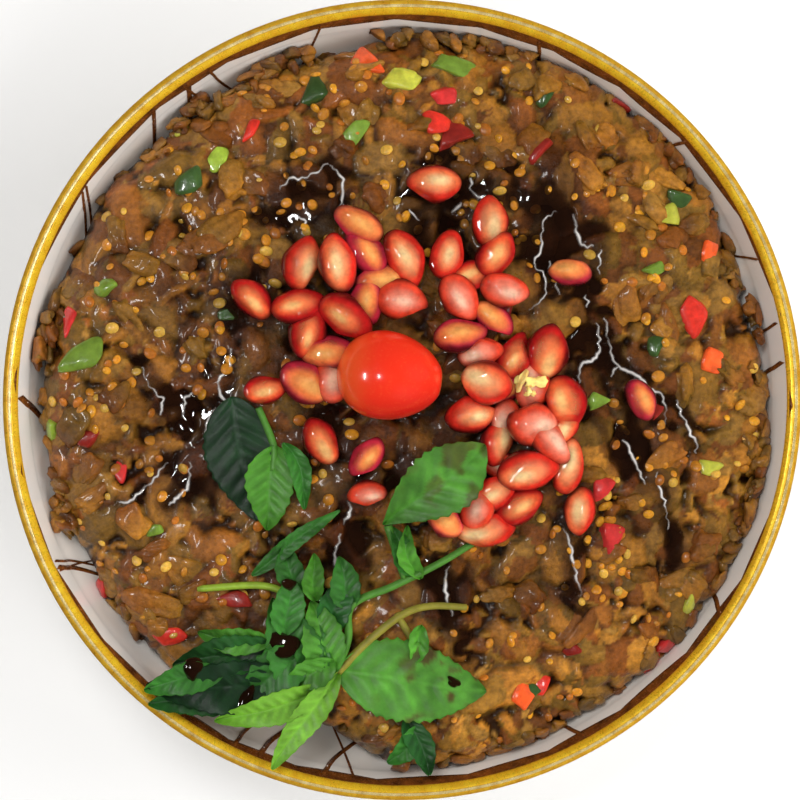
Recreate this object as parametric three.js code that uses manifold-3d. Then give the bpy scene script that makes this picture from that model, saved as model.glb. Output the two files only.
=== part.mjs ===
// A shallow coupe dish of baba ganoush: chunky aubergine mash with pomegranate arils, one cherry
// tomato and mint. Millimetres, +Z up, origin on the surface it stands on, at the dish's axis.

import * as THREE from "three";
import { mergeVertices } from "three/addons/utils/BufferGeometryUtils.js";
import Module from "manifold-3d";

const wasm = await Module();
wasm.setup();

// ---------------------------------------------------------------- driving dimensions

const DISH = {
  radius: 95, // over the outside of the wall
  height: 38, // lip above the table
  floor: 7.5, // inside floor above the table
  wallFoot: 30, // height where the round of the bowl meets the nearly upright wall
  innerRound: 46, // radius where the flat inside floor ends
  innerWall: 89.9, // inside radius at wallFoot
  lipInner: 91.7, // inside radius of the lip
  under: 3.4, // underside above the table
  underRound: 44, // radius where the flat underside ends
  outerWall: 94.8, // outside radius at wallFoot
  footOuter: 52,
  footInner: 47.5,
};
const GAP = 0.3; // clearance between pieces that touch
const TURNS = 48; // facets round the dish and the mash
const MASH = { edge: 30.5, crown: 5.5, shoulder: 10, lump: 2, rings: 10, crowding: 0.4 * Math.PI };
const TOMATO = { x: -5, y: 6.4, length: 26, width: 22, height: 21, turn: -8, sunk: 4 };
const ARIL = { length: 10.6, width: 7.6, height: 7, sunk: 1.2 };
const PAD = { bottom: 32, height: 7, layer: 2 };
const LEAF = { thickness: 0.9, rows: 6, broad: 12.5, clear: 1.6 };
const STEM = { radius: 1.1, sides: 5 };
const DEGREE = Math.PI / 180;

// ---------------------------------------------------------------- helpers

// A closed three.js geometry as a solid that can be joined and cut.
function toSolid(geometry) {
  const bare = geometry.clone();
  bare.deleteAttribute("normal");
  bare.deleteAttribute("uv");
  const merged = mergeVertices(bare, 1e-4);
  return new wasm.Manifold(new wasm.Mesh({
    numProp: 3,
    vertProperties: new Float32Array(merged.attributes.position.array),
    triVerts: new Uint32Array(merged.index.array),
  }));
}

function toGeometry(solid) {
  const mesh = solid.getMesh();
  const geometry = new THREE.BufferGeometry();
  geometry.setAttribute("position", new THREE.BufferAttribute(mesh.vertProperties, 3));
  geometry.setIndex(new THREE.BufferAttribute(mesh.triVerts, 1));
  geometry.computeVertexNormals();
  return geometry;
}

const join = (solids) => solids.reduce((whole, piece) => whole.add(piece));
const cut = (solid, cutters) => cutters.reduce((rest, cutter) => rest.subtract(cutter), solid);
const mix = (a, b, t) => a + (b - a) * t;
const clamp = (value) => Math.min(1, Math.max(0, value));

// Repeatable number from 0 to 1 for a whole-number grid point.
function scatter(i, j) {
  const wave = Math.sin(i * 127.1 + j * 311.7) * 43758.5453;
  return wave - Math.floor(wave);
}

// Smooth noise from -1 to 1 with bumps about `size` across.
function noise(x, y, size) {
  const [u, v] = [x / size + 50, y / size + 50];
  const [i, j] = [Math.floor(u), Math.floor(v)];
  const ease = (t) => t * t * (3 - 2 * t);
  const [s, t] = [ease(u - i), ease(v - j)];
  const near = mix(scatter(i, j), scatter(i + 1, j), s);
  const far = mix(scatter(i, j + 1), scatter(i + 1, j + 1), s);
  return mix(near, far, t) * 2 - 1;
}

// Closed body between two grids of points, top(i, j) and bottom(i, j), i < rows, j < columns.
function slab(rows, columns, top, bottom) {
  const points = [];
  for (const surface of [top, bottom]) {
    for (let i = 0; i < rows; i++) {
      for (let j = 0; j < columns; j++) points.push(...surface(i, j).toArray());
    }
  }
  const index = [];
  const under = rows * columns;
  const at = (i, j) => i * columns + j;
  const quad = (a, b, c, d) => index.push(a, b, c, a, c, d);
  for (let i = 0; i < rows - 1; i++) {
    for (let j = 0; j < columns - 1; j++) {
      quad(at(i, j), at(i + 1, j), at(i + 1, j + 1), at(i, j + 1));
      quad(under + at(i, j), under + at(i, j + 1), under + at(i + 1, j + 1), under + at(i + 1, j));
    }
    const last = columns - 1;
    quad(at(i, 0), under + at(i, 0), under + at(i + 1, 0), at(i + 1, 0));
    quad(at(i + 1, last), under + at(i + 1, last), under + at(i, last), at(i, last));
  }
  for (let j = 0; j < columns - 1; j++) {
    quad(at(0, j + 1), under + at(0, j + 1), under + at(0, j), at(0, j));
    quad(at(rows - 1, j), under + at(rows - 1, j), under + at(rows - 1, j + 1), at(rows - 1, j + 1));
  }
  const geometry = new THREE.BufferGeometry();
  geometry.setAttribute("position", new THREE.Float32BufferAttribute(points, 3));
  geometry.setIndex(index);
  return geometry;
}

// ---------------------------------------------------------------- dish

// Quarter of an ellipse from the flat at radius `start` up to the wall, `inset` closer to the axis.
function bowlCurve(start, wall, low, inset, steps = 7) {
  const [across, up] = [wall - start - inset, DISH.wallFoot - low - inset];
  const curve = new THREE.EllipseCurve(start, DISH.wallFoot, across, up, -Math.PI / 2, 0);
  return curve.getPoints(steps);
}

// Height of the inside of the bowl at a radius.
function insideHeight(radius) {
  if (radius <= DISH.innerRound) return DISH.floor;
  const across = (radius - DISH.innerRound) / (DISH.innerWall - DISH.innerRound);
  return DISH.wallFoot - (DISH.wallFoot - DISH.floor) * Math.sqrt(1 - Math.min(1, across) ** 2);
}

function dishSolid() {
  const lipRadius = (DISH.radius - DISH.lipInner) / 2;
  const lip = new THREE.EllipseCurve(
    DISH.radius - lipRadius, DISH.height - lipRadius, lipRadius, lipRadius, Math.PI, 0, true);
  const outside = bowlCurve(DISH.underRound, DISH.outerWall, DISH.under, 0, 9).reverse();
  const profile = [
    new THREE.Vector2(0, DISH.floor),
    ...bowlCurve(DISH.innerRound, DISH.innerWall, DISH.floor, 0),
    ...lip.getPoints(4),
    ...outside.filter((point) => point.x > DISH.footOuter + 1),
    new THREE.Vector2(DISH.footOuter, DISH.under),
    new THREE.Vector2(DISH.footOuter, 0),
    new THREE.Vector2(DISH.footInner, 0),
    new THREE.Vector2(DISH.footInner, DISH.under),
    new THREE.Vector2(0, DISH.under),
  ];
  return toSolid(new THREE.LatheGeometry(profile.reverse(), TURNS).rotateX(Math.PI / 2));
}

// ---------------------------------------------------------------- mash

// Radius where the mash meets the bowl, uneven as spooned food is, in a direction in radians.
function mashReach(angle) {
  const [x, y] = [Math.cos(angle), Math.sin(angle)];
  const spread = 86.9 + 2.2 * noise(x * 60, y * 60, 34) + 1.5 * noise(x * 60, y * 60, 13);
  const pushedOver = 1.5 * Math.cos(angle - 15 * DEGREE);
  const heapedAgainstWall = 2 * Math.max(0, Math.cos(angle - 60 * DEGREE)) ** 8
    + 3.2 * Math.max(0, Math.cos(angle - 178 * DEGREE)) ** 8
    + 3 * Math.max(0, Math.cos(angle + 80 * DEGREE)) ** 14
    + 2 * Math.max(0, Math.cos(angle + 42 * DEGREE)) ** 14
    - 5.5 * Math.max(0, Math.cos(angle + 106 * DEGREE)) ** 40;
  return Math.min(DISH.innerWall - 0.5, spread + pushedOver + heapedAgainstWall);
}

// Height of the top of the mash: a low dome with lumps that rounds off to its uneven edge.
function mashHeight(x, y) {
  const radius = Math.hypot(x, y);
  const reach = mashReach(Math.atan2(y, x));
  const dome = MASH.edge + MASH.crown * (1 - (radius / DISH.radius) ** 2)
    + MASH.lump * (0.7 * noise(x, y, 27) + 0.8 * noise(x, y, 11));
  const inward = clamp((reach - radius) / MASH.shoulder);
  const shoulder = Math.sqrt(1 - (1 - inward) ** 2);
  return mix(insideHeight(reach), dome, shoulder);
}

// Corner of the mash's top where a ring meets a spoke; the rings crowd together at the edge.
function mashCorner(ring, turn) {
  const angle = (turn / TURNS) * 2 * Math.PI;
  const out = Math.sin((ring / MASH.rings) * MASH.crowding) / Math.sin(MASH.crowding);
  const radius = mashReach(angle) * out;
  const [x, y] = [Math.cos(angle) * radius, Math.sin(angle) * radius];
  return new THREE.Vector3(x, y, mashHeight(x, y));
}

// Height of the faceted top of the mash at a point.
function surface(x, y) {
  const turn = ((Math.atan2(y, x) / (2 * Math.PI) + 1) % 1) * TURNS;
  const spoke = Math.floor(turn);
  const reach = mix(mashReach((spoke / TURNS) * 2 * Math.PI),
    mashReach(((spoke + 1) / TURNS) * 2 * Math.PI), turn - spoke);
  const out = Math.min(1, Math.hypot(x, y) / reach);
  const place = (Math.asin(out * Math.sin(MASH.crowding)) / MASH.crowding) * MASH.rings;
  const ring = Math.min(MASH.rings - 1, Math.floor(place));
  const near = mix(mashCorner(ring, spoke).z, mashCorner(ring, spoke + 1).z, turn - spoke);
  const far = mix(mashCorner(ring + 1, spoke).z, mashCorner(ring + 1, spoke + 1).z, turn - spoke);
  return mix(near, far, place - ring);
}

function mashSolid() {
  const profile = [
    new THREE.Vector2(0, DISH.floor + GAP),
    ...bowlCurve(DISH.innerRound, DISH.innerWall, DISH.floor, GAP * 1.2),
    new THREE.Vector2(DISH.lipInner - 2 * GAP, DISH.height),
    new THREE.Vector2(0, DISH.height + 20),
  ];
  const inside = toSolid(new THREE.LatheGeometry(profile, TURNS).rotateX(Math.PI / 2));
  const points = [0, 0, mashHeight(0, 0), 0, 0, 0];
  for (let ring = 1; ring <= MASH.rings; ring++) {
    for (let turn = 0; turn < TURNS; turn++) points.push(...mashCorner(ring, turn).toArray());
  }
  for (let turn = 0; turn < TURNS; turn++) {
    const { x, y } = mashCorner(MASH.rings, turn);
    points.push(x, y, 0);
  }
  const index = [];
  const at = (ring, turn) => 2 + (ring - 1) * TURNS + (turn % TURNS);
  for (let turn = 0; turn < TURNS; turn++) {
    index.push(0, at(1, turn), at(1, turn + 1));
    for (let ring = 1; ring <= MASH.rings; ring++) {
      const [a, b] = [at(ring, turn), at(ring + 1, turn)];
      const [c, d] = [at(ring + 1, turn + 1), at(ring, turn + 1)];
      index.push(a, b, c, a, c, d);
    }
    index.push(1, at(MASH.rings + 1, turn + 1), at(MASH.rings + 1, turn));
  }
  const heap = new THREE.BufferGeometry();
  heap.setAttribute("position", new THREE.Float32BufferAttribute(points, 3));
  heap.setIndex(index);
  return toSolid(heap).intersect(inside);
}

// What a garnish lies on: the mash, or the lip of the dish past its edge.
function support(x, y) {
  const radius = Math.hypot(x, y);
  const bridge = clamp((radius - 78) / 11);
  const mash = surface(x, y);
  return Math.max(mash, mix(mash, DISH.height + GAP, bridge));
}

// ---------------------------------------------------------------- arils and tomato

// A rounded body drawn to a blunt point at +X, with the soft flats of fruit that grew packed.
function kernel(length, width, height, grow) {
  const shape = new THREE.SphereGeometry(1, 7, 5).rotateZ(-Math.PI / 2);
  const position = shape.attributes.position;
  for (let i = 0; i < position.count; i++) {
    const [x, y, z] = [position.getX(i), position.getY(i), position.getZ(i)];
    const taper = 1 - 0.3 * Math.max(0, x) ** 1.5 - 0.08 * Math.max(0, -x);
    const flat = 1 / Math.max(Math.abs(y), Math.abs(z), 0.9 * Math.hypot(y, z), 0.55) * 0.9;
    const side = taper * Math.min(1.06, mix(1, flat, 0.35));
    position.setXYZ(i, x * (length / 2 + grow), y * side * (width / 2 + grow), z * side * (height / 2 + grow));
  }
  return shape;
}

// One aril lying on the mash; tilt lifts its pointed end, layer 1 lies on the arils below it.
function aril([x, y, turn, tilt = 0, layer = 0, size = 1], sunk, grow = 0) {
  const { length, width, height } = ARIL;
  const lift = (height / 2) * size - sunk + layer * PAD.layer;
  return toSolid(kernel(length * size, width * size, height * size, grow)
    .rotateY(-tilt * DEGREE)
    .rotateZ(turn * DEGREE)
    .translate(x, y, surface(x, y) + lift));
}

// Low pad of packed arils under a heap, which joins those on top into one body.
function heapPad(outline, grow) {
  const curve = new THREE.SplineCurve(outline.map(([x, y]) => new THREE.Vector2(x, y)));
  const points = curve.getPoints(2 * outline.length - 2);
  const pad = new THREE.ExtrudeGeometry(new THREE.Shape(points.slice(0, -1)), {
    depth: PAD.height, bevelThickness: grow, bevelSize: grow, bevelEnabled: grow > 0, bevelSegments: 1,
  });
  return toSolid(pad.translate(0, 0, PAD.bottom));
}

function arilHeap(heap, grow = 0) {
  return join([heapPad(heap.pad, grow), ...heap.arils.map((place) => aril(place, -2 * GAP, grow))]);
}

function tomatoSolid(grow = 0) {
  const { x, y, length, width, height, turn, sunk } = TOMATO;
  const profile = [];
  const steps = 10;
  for (let i = 0; i <= steps; i++) {
    const angle = (i / steps) * Math.PI;
    const dimple = 1 - 0.07 * Math.exp(-((Math.PI - angle) ** 2) / 0.12);
    profile.push(new THREE.Vector2(Math.sin(angle), -Math.cos(angle) * dimple));
  }
  const body = new THREE.LatheGeometry(profile, 18).rotateZ(Math.PI / 2);
  body.scale(length / 2 + grow, width / 2 + grow, height / 2 + grow).rotateZ(turn * DEGREE);
  return toSolid(body.translate(x, y, surface(x, y) + height / 2 - sunk));
}

// Places of arils: x, y, turn and tilt in degrees, layer, size.
const LOOSE_ARILS = {
  aril_top: [6, 51.5, 0, -4, 0, 1.24],
  aril_left: [-37, 24.5, -45, 0, 0, 1.1],
  aril_far_left: [-34, 3.5, 190, 5, 0, 1],
  aril_lower_left: [-20.7, -9, -60, 0, 0, 1.12],
  aril_lower: [-10, -12.5, 50, 8, 0, 1.05],
  aril_by_leaf: [-10, -21.5, 5, 0, 0, 0.9],
  aril_low_right: [41, -26, 85, 0, 0, 1.1],
  aril_right: [55.5, 0.5, -65, 0, 0, 1],
  aril_in_sauce: [38.5, 31, -5, 0, 0, 0.98],
};
const HEAPS = {
  aril_heap_left: {
    pad: [[-29, 22], [-29, 31], [-22, 38], [-13, 44], [-6, 39], [1, 35], [0, 27], [-8, 22], [-14, 14],
      [-16, 4], [-25, 5], [-25, 14], [-29, 22]],
    arils: [
      [-25, 33, 75], [-10, 36, -60, 10], [-12, 42, -30], [-1, 34, -65, 0, 0, 1.05],
      [-26, 23, 10], [-7, 29, 15], [-2, 24.5, -10, 0, 0, 1.05], [-24, 17, 80],
      [-10, 24, 90, 12], [-19, 12, 0, 10], [-24.5, 5, -30], [-18, 6, 80, 0, 0, 1.05],
      [-17, 33, 100, -12, 1, 1.05], [-15, 20.5, -35, 8, 1, 1.15],
    ],
  },
  aril_heap_right: {
    pad: [[18, 45], [22, 38], [24, 26], [25, 16], [33, 15], [37, 6], [40, -6], [38, -17], [28, -26],
      [17, -31], [8, -29], [11, -19], [18, -13], [12, -3], [15, 6], [11, 17], [10, 27], [8, 37], [15, 40],
      [18, 45]],
    arils: [
      [19, 43, 90], [20.5, 35, 60, 8], [9, 35, 75, -6], [22.5, 27, -10], [12, 25, -55], [12, 16, 10],
      [17, 12, 10, 12], [25, 11, 65, -8], [32.5, 12, 75, 6, 0, 1.15], [14.5, -2.5, 10], [29, 4, 85],
      [37, 0, -75, 0, 0, 1.1], [21, -9.5, 80, -8], [37.5, -15, 80], [20.5, -21, 30], [26, -24.5, 30, 6],
      [16, -25, 80], [12.5, -20, 20], [8, -27, -40], [18, -30, 5, 0, 0, 1.05],
      [18, 5, -15, 6, 1, 1.1], [29, -5, 0, -8, 1, 1.1], [33, -9, -50, 8, 1], [28, -16, 10, 0, 1, 1.15],
    ],
  },
};

// ---------------------------------------------------------------- mint

// A pointed leaf from base to tip that drapes over what lies under it. grow widens it all round;
// open carries its top up and clear of the food, for cutting.
function leaf({ base, tip, width, fold = 1.5, arch = 2, lift = [1.6, 1.6], side = 0 }, grow = 0, open = 0) {
  const [rows, columns] = [LEAF.rows, width > LEAF.broad ? 5 : 3];
  const from = new THREE.Vector2(...base);
  const along = new THREE.Vector2(...tip).sub(from);
  const reach = along.length();
  const way = along.clone().normalize();
  const ends = [support(...base) + lift[0], support(...tip) + lift[1]];
  const middle = (i, j) => {
    const u = i / (rows - 1);
    const v = (2 * j) / (columns - 1) - 1;
    const half = (width / 2) * Math.sin(Math.PI * u ** 0.8) ** 0.8 + 0.6 + grow;
    const past = grow * (2 * u - 1);
    const bow = side * Math.sin(Math.PI * u);
    const x = from.x + way.x * (reach * u + past) - way.y * (v * half + bow);
    const y = from.y + way.y * (reach * u + past) + way.x * (v * half + bow);
    const free = mix(ends[0], ends[1], u) + arch * Math.sin(Math.PI * u) + fold * Math.abs(v);
    return new THREE.Vector3(x, y, Math.max(free, support(x, y) + LEAF.clear));
  };
  const lower = (i, j) => middle(i, j).add(new THREE.Vector3(0, 0, -LEAF.thickness / 2 - grow));
  const upper = (i, j) => middle(i, j).add(new THREE.Vector3(0, 0, LEAF.thickness / 2 + grow + open));
  return toSolid(slab(rows, columns, upper, lower));
}

// A stem through points of x, y and lift above what it lies on.
function stem(points, grow = 0, radius = STEM.radius) {
  const path = new THREE.CatmullRomCurve3(points.map(
    ([x, y, lift]) => new THREE.Vector3(x, y, support(x, y) + radius + lift)));
  const outline = new THREE.Shape();
  for (let i = 0; i < STEM.sides; i++) {
    const angle = (i / STEM.sides) * 2 * Math.PI;
    const corner = [Math.cos(angle) * (radius + grow), Math.sin(angle) * (radius + grow)];
    if (i === 0) outline.moveTo(...corner);
    else outline.lineTo(...corner);
  }
  outline.closePath();
  const steps = 2 * (points.length - 1);
  return toSolid(new THREE.ExtrudeGeometry(outline, { steps, extrudePath: path, bevelEnabled: false }));
}

const SPRIGS = {
  mint_sprig: {
    stems: [
      [[-50, -44, 0.6], [-33, -43.5, 1], [-25, -50, 2], [-17, -64, 2.5]],
      [[14, -49, 0.6], [5, -48.5, 1], [-2, -50.5, 1.8], [-10, -57, 2.4], [-17, -64, 2.5]],
      [[17, -32.5, 0.6], [7.5, -38, 1], [-3.5, -43.5, 1.6], [-13.5, -48, 2.2], [-14.5, -56, 2.4], [-17, -64, 2.5]],
      [[-1, -42, 1.2], [-2.5, -29, 0.8]],
      [[-3, -50, 1.6], [3, -60, 0.8]],
    ],
    leaves: [
      { base: [-17, -64], tip: [19, -69], width: 19, fold: 1, arch: 2.4, lift: [2.6, 1.2] },
      { base: [-17, -63.5], tip: [-32.5, -86.5], width: 5.6, fold: 0.8, lift: [3, 0.8] },
      { base: [-19, -68], tip: [-44, -75], width: 8, lift: [3, 2] },
      { base: [-26, -67], tip: [-62, -66], width: 12, lift: [2, 1] },
      { base: [-30, -57.5], tip: [-56, -62], width: 9, lift: [2.5, 1] },
      { base: [-23.5, -70], tip: [-32, -46], width: 13, fold: 2, lift: [2.5, 1.5] },
      { base: [-17.5, -64], tip: [-23.5, -48], width: 10, lift: [3, 2] },
      { base: [3, -60], tip: [-6, -84], width: 6, lift: [1, 0.6], arch: 1 },
      { base: [-3, -30], tip: [17, -10], width: 14.3, fold: 2.2, arch: 3, lift: [1, 2] },
      { base: [1.5, -41], tip: [-4.5, -29.5], width: 5, lift: [1, 0.8] },
      { base: [-13.5, -49], tip: [-18.5, -38], width: 6.5, lift: [2, 0.8] },
    ],
  },
  mint_leaves_left: {
    stems: [[[-35.5, -1, 0.6], [-32, -10, 0.6], [-32, -16, 0.6]]],
    leaves: [
      { base: [-38.5, 2], tip: [-38.5, -27], width: 13.5, fold: -0.6, arch: 1.4, lift: [0.6, 0.8] },
      { base: [-31.5, -10], tip: [-34, -30], width: 11, fold: 2, arch: 1.4, lift: [1, 1.2] },
      { base: [-30, -9.5], tip: [-24.5, -25], width: 4.6, side: 2, lift: [0.8, 0.6] },
    ],
  },
};

function sprig({ stems, leaves }, grow = 0, open = 0) {
  return join([
    ...stems.map((points) => stem(points, grow)),
    ...leaves.map((shape) => leaf(shape, grow, open)),
  ]);
}

// ---------------------------------------------------------------- the dish and its food

const FINISH = {
  glaze: { color: 0xe6dfd6, roughness: 0.25, metalness: 0 },
  mash: { color: 0x7d5a2e, roughness: 0.45, metalness: 0 },
  aril: { color: 0xb5302c, roughness: 0.2, metalness: 0 },
  tomato: { color: 0xd93a1c, roughness: 0.15, metalness: 0 },
  mint: { color: 0x3f7a2c, roughness: 0.4, metalness: 0 },
};

const group = new THREE.Group();

function add(name, solid, finish) {
  const mesh = new THREE.Mesh(toGeometry(solid), new THREE.MeshStandardMaterial(FINISH[finish]));
  mesh.name = name;
  group.add(mesh);
}

// Mint and tomato lie on top, and the arils under them are cut clear of both.
const OPEN_HEIGHT = 40;
const covers = Object.values(SPRIGS).map((shape) => sprig(shape, GAP, OPEN_HEIGHT));
for (const [name, shape] of Object.entries(SPRIGS)) add(name, sprig(shape), "mint");

add("tomato", tomatoSolid(), "tomato");
covers.push(tomatoSolid(GAP));

const bedded = [tomatoSolid(GAP)];
for (const [name, place] of Object.entries(LOOSE_ARILS)) {
  add(name, cut(aril(place, ARIL.sunk), covers), "aril");
  bedded.push(aril(place, ARIL.sunk, GAP));
}
for (const [name, heap] of Object.entries(HEAPS)) {
  add(name, cut(arilHeap(heap), [...covers, ...bedded]), "aril");
  bedded.push(heapPad(heap.pad, GAP));
}

// The mash is cut round what is bedded in it.
add("mash", cut(mashSolid(), bedded), "mash");
add("dish", dishSolid(), "glaze");

export default group;
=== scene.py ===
"""Looks of the baba ganoush: a gold-lipped dish of chunky aubergine mash with its toppings."""

import math

import bmesh
import bpy
import numpy as np
from mathutils import Matrix, Vector


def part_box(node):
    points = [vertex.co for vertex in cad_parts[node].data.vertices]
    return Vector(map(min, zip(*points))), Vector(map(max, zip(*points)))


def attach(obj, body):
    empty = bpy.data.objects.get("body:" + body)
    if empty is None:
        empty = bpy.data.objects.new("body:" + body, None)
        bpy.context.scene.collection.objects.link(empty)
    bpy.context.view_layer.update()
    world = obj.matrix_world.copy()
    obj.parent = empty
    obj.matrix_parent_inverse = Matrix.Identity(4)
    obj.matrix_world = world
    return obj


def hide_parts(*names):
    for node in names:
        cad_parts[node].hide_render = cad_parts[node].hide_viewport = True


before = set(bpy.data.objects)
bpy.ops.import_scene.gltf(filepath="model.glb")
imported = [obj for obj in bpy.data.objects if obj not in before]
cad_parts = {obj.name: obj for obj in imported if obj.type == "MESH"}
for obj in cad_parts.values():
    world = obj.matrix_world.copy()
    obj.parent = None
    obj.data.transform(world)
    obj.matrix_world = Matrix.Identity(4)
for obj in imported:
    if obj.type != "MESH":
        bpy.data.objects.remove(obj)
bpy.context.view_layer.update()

MM = 0.001  # everything below is worked out in millimetres and made in metres
DEGREE = math.pi / 180

dish_low, dish_high = (np.array(corner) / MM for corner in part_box("dish"))
DISH_RADIUS = (dish_high[0] - dish_low[0]) / 2
DISH_HEIGHT = dish_high[2]

# The dish's section, as in the CAD model.
FLOOR, WALL_FOOT = 7.5, 30.0
INNER_ROUND, INNER_WALL, LIP_INNER = 46.0, 89.9, 91.7
UNDER, UNDER_ROUND, OUTER_WALL = 3.4, 44.0, 94.8
FOOT_OUTER, FOOT_INNER = 52.0, 47.5
LIP_ROUND = (DISH_RADIUS - LIP_INNER) / 2

# ------------------------------------------------------------------ camera, lights, floor

CAMERA_DISTANCE = 480.0
CAMERA_TILT, CAMERA_AZIMUTH = 5.0, 155.0
FRAME_HALF = DISH_RADIUS * 0.996
CENTRE = Vector((-2.1, 0.7, DISH_HEIGHT)) * MM  # what the camera and the lamps look at


def direction(tilt, azimuth):
    """Unit vector a tilt away from straight up, leaning towards an azimuth, both in degrees."""
    t, a = tilt * DEGREE, azimuth * DEGREE
    return Vector((math.sin(t) * math.cos(a), math.sin(t) * math.sin(a), math.cos(t)))


def aim(obj, place, target):
    """Put an object at a place, looking at the target, with +Y up in its view."""
    back = (place - target).normalized()
    right = Vector((0, 1, 0)).cross(back).normalized()
    up = back.cross(right)
    obj.matrix_world = Matrix.Translation(place) @ Matrix((right, up, back)).transposed().to_4x4()


def add_camera():
    data = bpy.data.cameras.new("view")
    data.lens = data.sensor_width / 2 * CAMERA_DISTANCE / FRAME_HALF
    data.clip_start = 0.01
    camera = bpy.data.objects.new("view", data)
    bpy.context.scene.collection.objects.link(camera)
    aim(camera, CENTRE + direction(CAMERA_TILT, CAMERA_AZIMUTH) * CAMERA_DISTANCE * MM, CENTRE)
    bpy.context.scene.camera = camera


def add_lamp(name, tilt, azimuth, distance, size, radiance, soft):
    """Area lamp aimed at the food: a soft one lights it, the others only shine in its wet surface."""
    data = bpy.data.lights.new(name, "AREA")
    data.shape = "RECTANGLE"
    data.size, data.size_y = size
    data.energy = radiance * math.pi * size[0] * size[1]
    lamp = bpy.data.objects.new(name, data)
    bpy.context.scene.collection.objects.link(lamp)
    lamp.visible_diffuse, lamp.visible_glossy = soft, not soft
    aim(lamp, CENTRE + direction(tilt, azimuth) * distance, CENTRE)


def add_surroundings():
    world = bpy.data.worlds.new("studio")
    bpy.context.scene.world = world
    world.use_nodes = True
    background = world.node_tree.nodes["Background"]
    background.inputs["Color"].default_value = (1.0, 0.98, 0.96, 1)
    background.inputs["Strength"].default_value = 0.5
    world.cycles_visibility.glossy = False
    add_lamp("key", 30, 122, 0.9, (0.3, 0.3), 10.5, True)
    add_lamp("fill", 56, 312, 1.1, (0.8, 0.8), 3.4, True)
    add_lamp("side", 62, 15, 1.1, (0.8, 0.8), 3.0, True)
    add_lamp("window_near", 11, 172, 0.9, (0.04, 0.16), 52, False)
    add_lamp("window_far", 44, 178, 0.9, (0.05, 0.22), 64, False)
    floor = mesh_object("floor", *flat_square(4000.0), material=floor_material())
    floor.visible_glossy = False
    bpy.context.scene.view_settings.view_transform = "Standard"


# ------------------------------------------------------------------ meshes

def mesh_object(name, points, faces, material=None, smooth=True, **attributes):
    """Mesh object from points in millimetres; each attribute is one value or colour per point."""
    mesh = bpy.data.meshes.new(name)
    points = np.asarray(points, dtype=np.float64) * MM
    if isinstance(faces, np.ndarray):
        build_uniform(mesh, points, faces)
    else:
        mesh.from_pydata(points.tolist(), [], faces)
    for key, values in attributes.items():
        values = np.asarray(values, dtype=np.float32)
        if values.ndim == 2:
            layer = mesh.attributes.new(key, "FLOAT_COLOR", "POINT")
            rgba = np.ones((len(values), 4), dtype=np.float32)
            rgba[:, :3] = values
            layer.data.foreach_set("color", rgba.ravel())
        else:
            layer = mesh.attributes.new(key, "FLOAT", "POINT")
            layer.data.foreach_set("value", values)
    if smooth:
        mesh.polygons.foreach_set("use_smooth", [True] * len(mesh.polygons))
    mesh.update()
    obj = bpy.data.objects.new(name, mesh)
    bpy.context.scene.collection.objects.link(obj)
    if material:
        mesh.materials.append(material)
    return obj


def build_uniform(mesh, points, faces):
    """Fill a mesh with faces that all have the same number of corners."""
    count, corners = faces.shape
    mesh.vertices.add(len(points))
    mesh.vertices.foreach_set("co", points.ravel())
    mesh.loops.add(count * corners)
    mesh.loops.foreach_set("vertex_index", faces.ravel().astype(np.int32))
    mesh.polygons.add(count)
    mesh.polygons.foreach_set("loop_start", np.arange(0, count * corners, corners, dtype=np.int32))
    mesh.update(calc_edges=True)
    mesh.validate()


def flat_square(half):
    return [(-half, -half, 0), (half, -half, 0), (half, half, 0), (-half, half, 0)], [(0, 1, 2, 3)]


def lathe(profile, turns):
    """Points and quads of a profile of (radius, height) turned round the Z axis."""
    profile = np.array(profile)
    angle = np.arange(turns) / turns * 2 * math.pi
    radius, height = profile[:, 0], profile[:, 1]
    points = np.stack([
        np.outer(radius, np.cos(angle)),
        np.outer(radius, np.sin(angle)),
        np.repeat(height[:, None], turns, axis=1),
    ], axis=-1).reshape(-1, 3)
    return points, band_faces(len(profile), turns)


def band_faces(rings, turns, closed=False):
    """Quads between rings of points that follow each other; closed joins the last ring to the first."""
    row, turn = np.meshgrid(np.arange(rings if closed else rings - 1), np.arange(turns), indexing="ij")
    here, above = row * turns, (row + 1) % rings * turns
    after = (turn + 1) % turns
    return np.stack([here + turn, here + after, above + after, above + turn], axis=-1).reshape(-1, 4)


def open_edges(faces, count):
    """Edges that only one quad of a sheet has, among a count of points."""
    edges = np.concatenate([faces[:, [k, (k + 1) % 4]] for k in range(4)])
    keys = edges[:, 0].astype(np.int64) * count + edges[:, 1]
    back = edges[:, 1].astype(np.int64) * count + edges[:, 0]
    return edges[~np.isin(keys, back)]


def mend(obj, step):
    """Run one bmesh step over an object, then turn its faces outwards."""
    shape = bmesh.new()
    shape.from_mesh(obj.data)
    step(shape)
    bmesh.ops.recalc_face_normals(shape, faces=shape.faces)
    shape.to_mesh(obj.data)
    shape.free()
    return obj


def weld(obj):
    """Join points that lie on each other."""
    return mend(obj, lambda shape: bmesh.ops.remove_doubles(shape, verts=shape.verts, dist=1e-6))


def close_ends(obj):
    """Cap the open ends of tubes."""
    def cap(shape):
        bmesh.ops.holes_fill(shape, edges=[edge for edge in shape.edges if edge.is_boundary], sides=0)

    return mend(obj, cap)


def ball(level):
    """Points and triangles of a unit icosphere."""
    mesh = bpy.data.meshes.new("ball")
    shape = bmesh.new()
    bmesh.ops.create_icosphere(shape, subdivisions=level, radius=1)
    shape.to_mesh(mesh)
    shape.free()
    points = np.array([vertex.co[:] for vertex in mesh.vertices])
    faces = np.array([polygon.vertices[:] for polygon in mesh.polygons])
    bpy.data.meshes.remove(mesh)
    return points, faces


BALLS = {level: ball(level) for level in (3, 4)}


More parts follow.
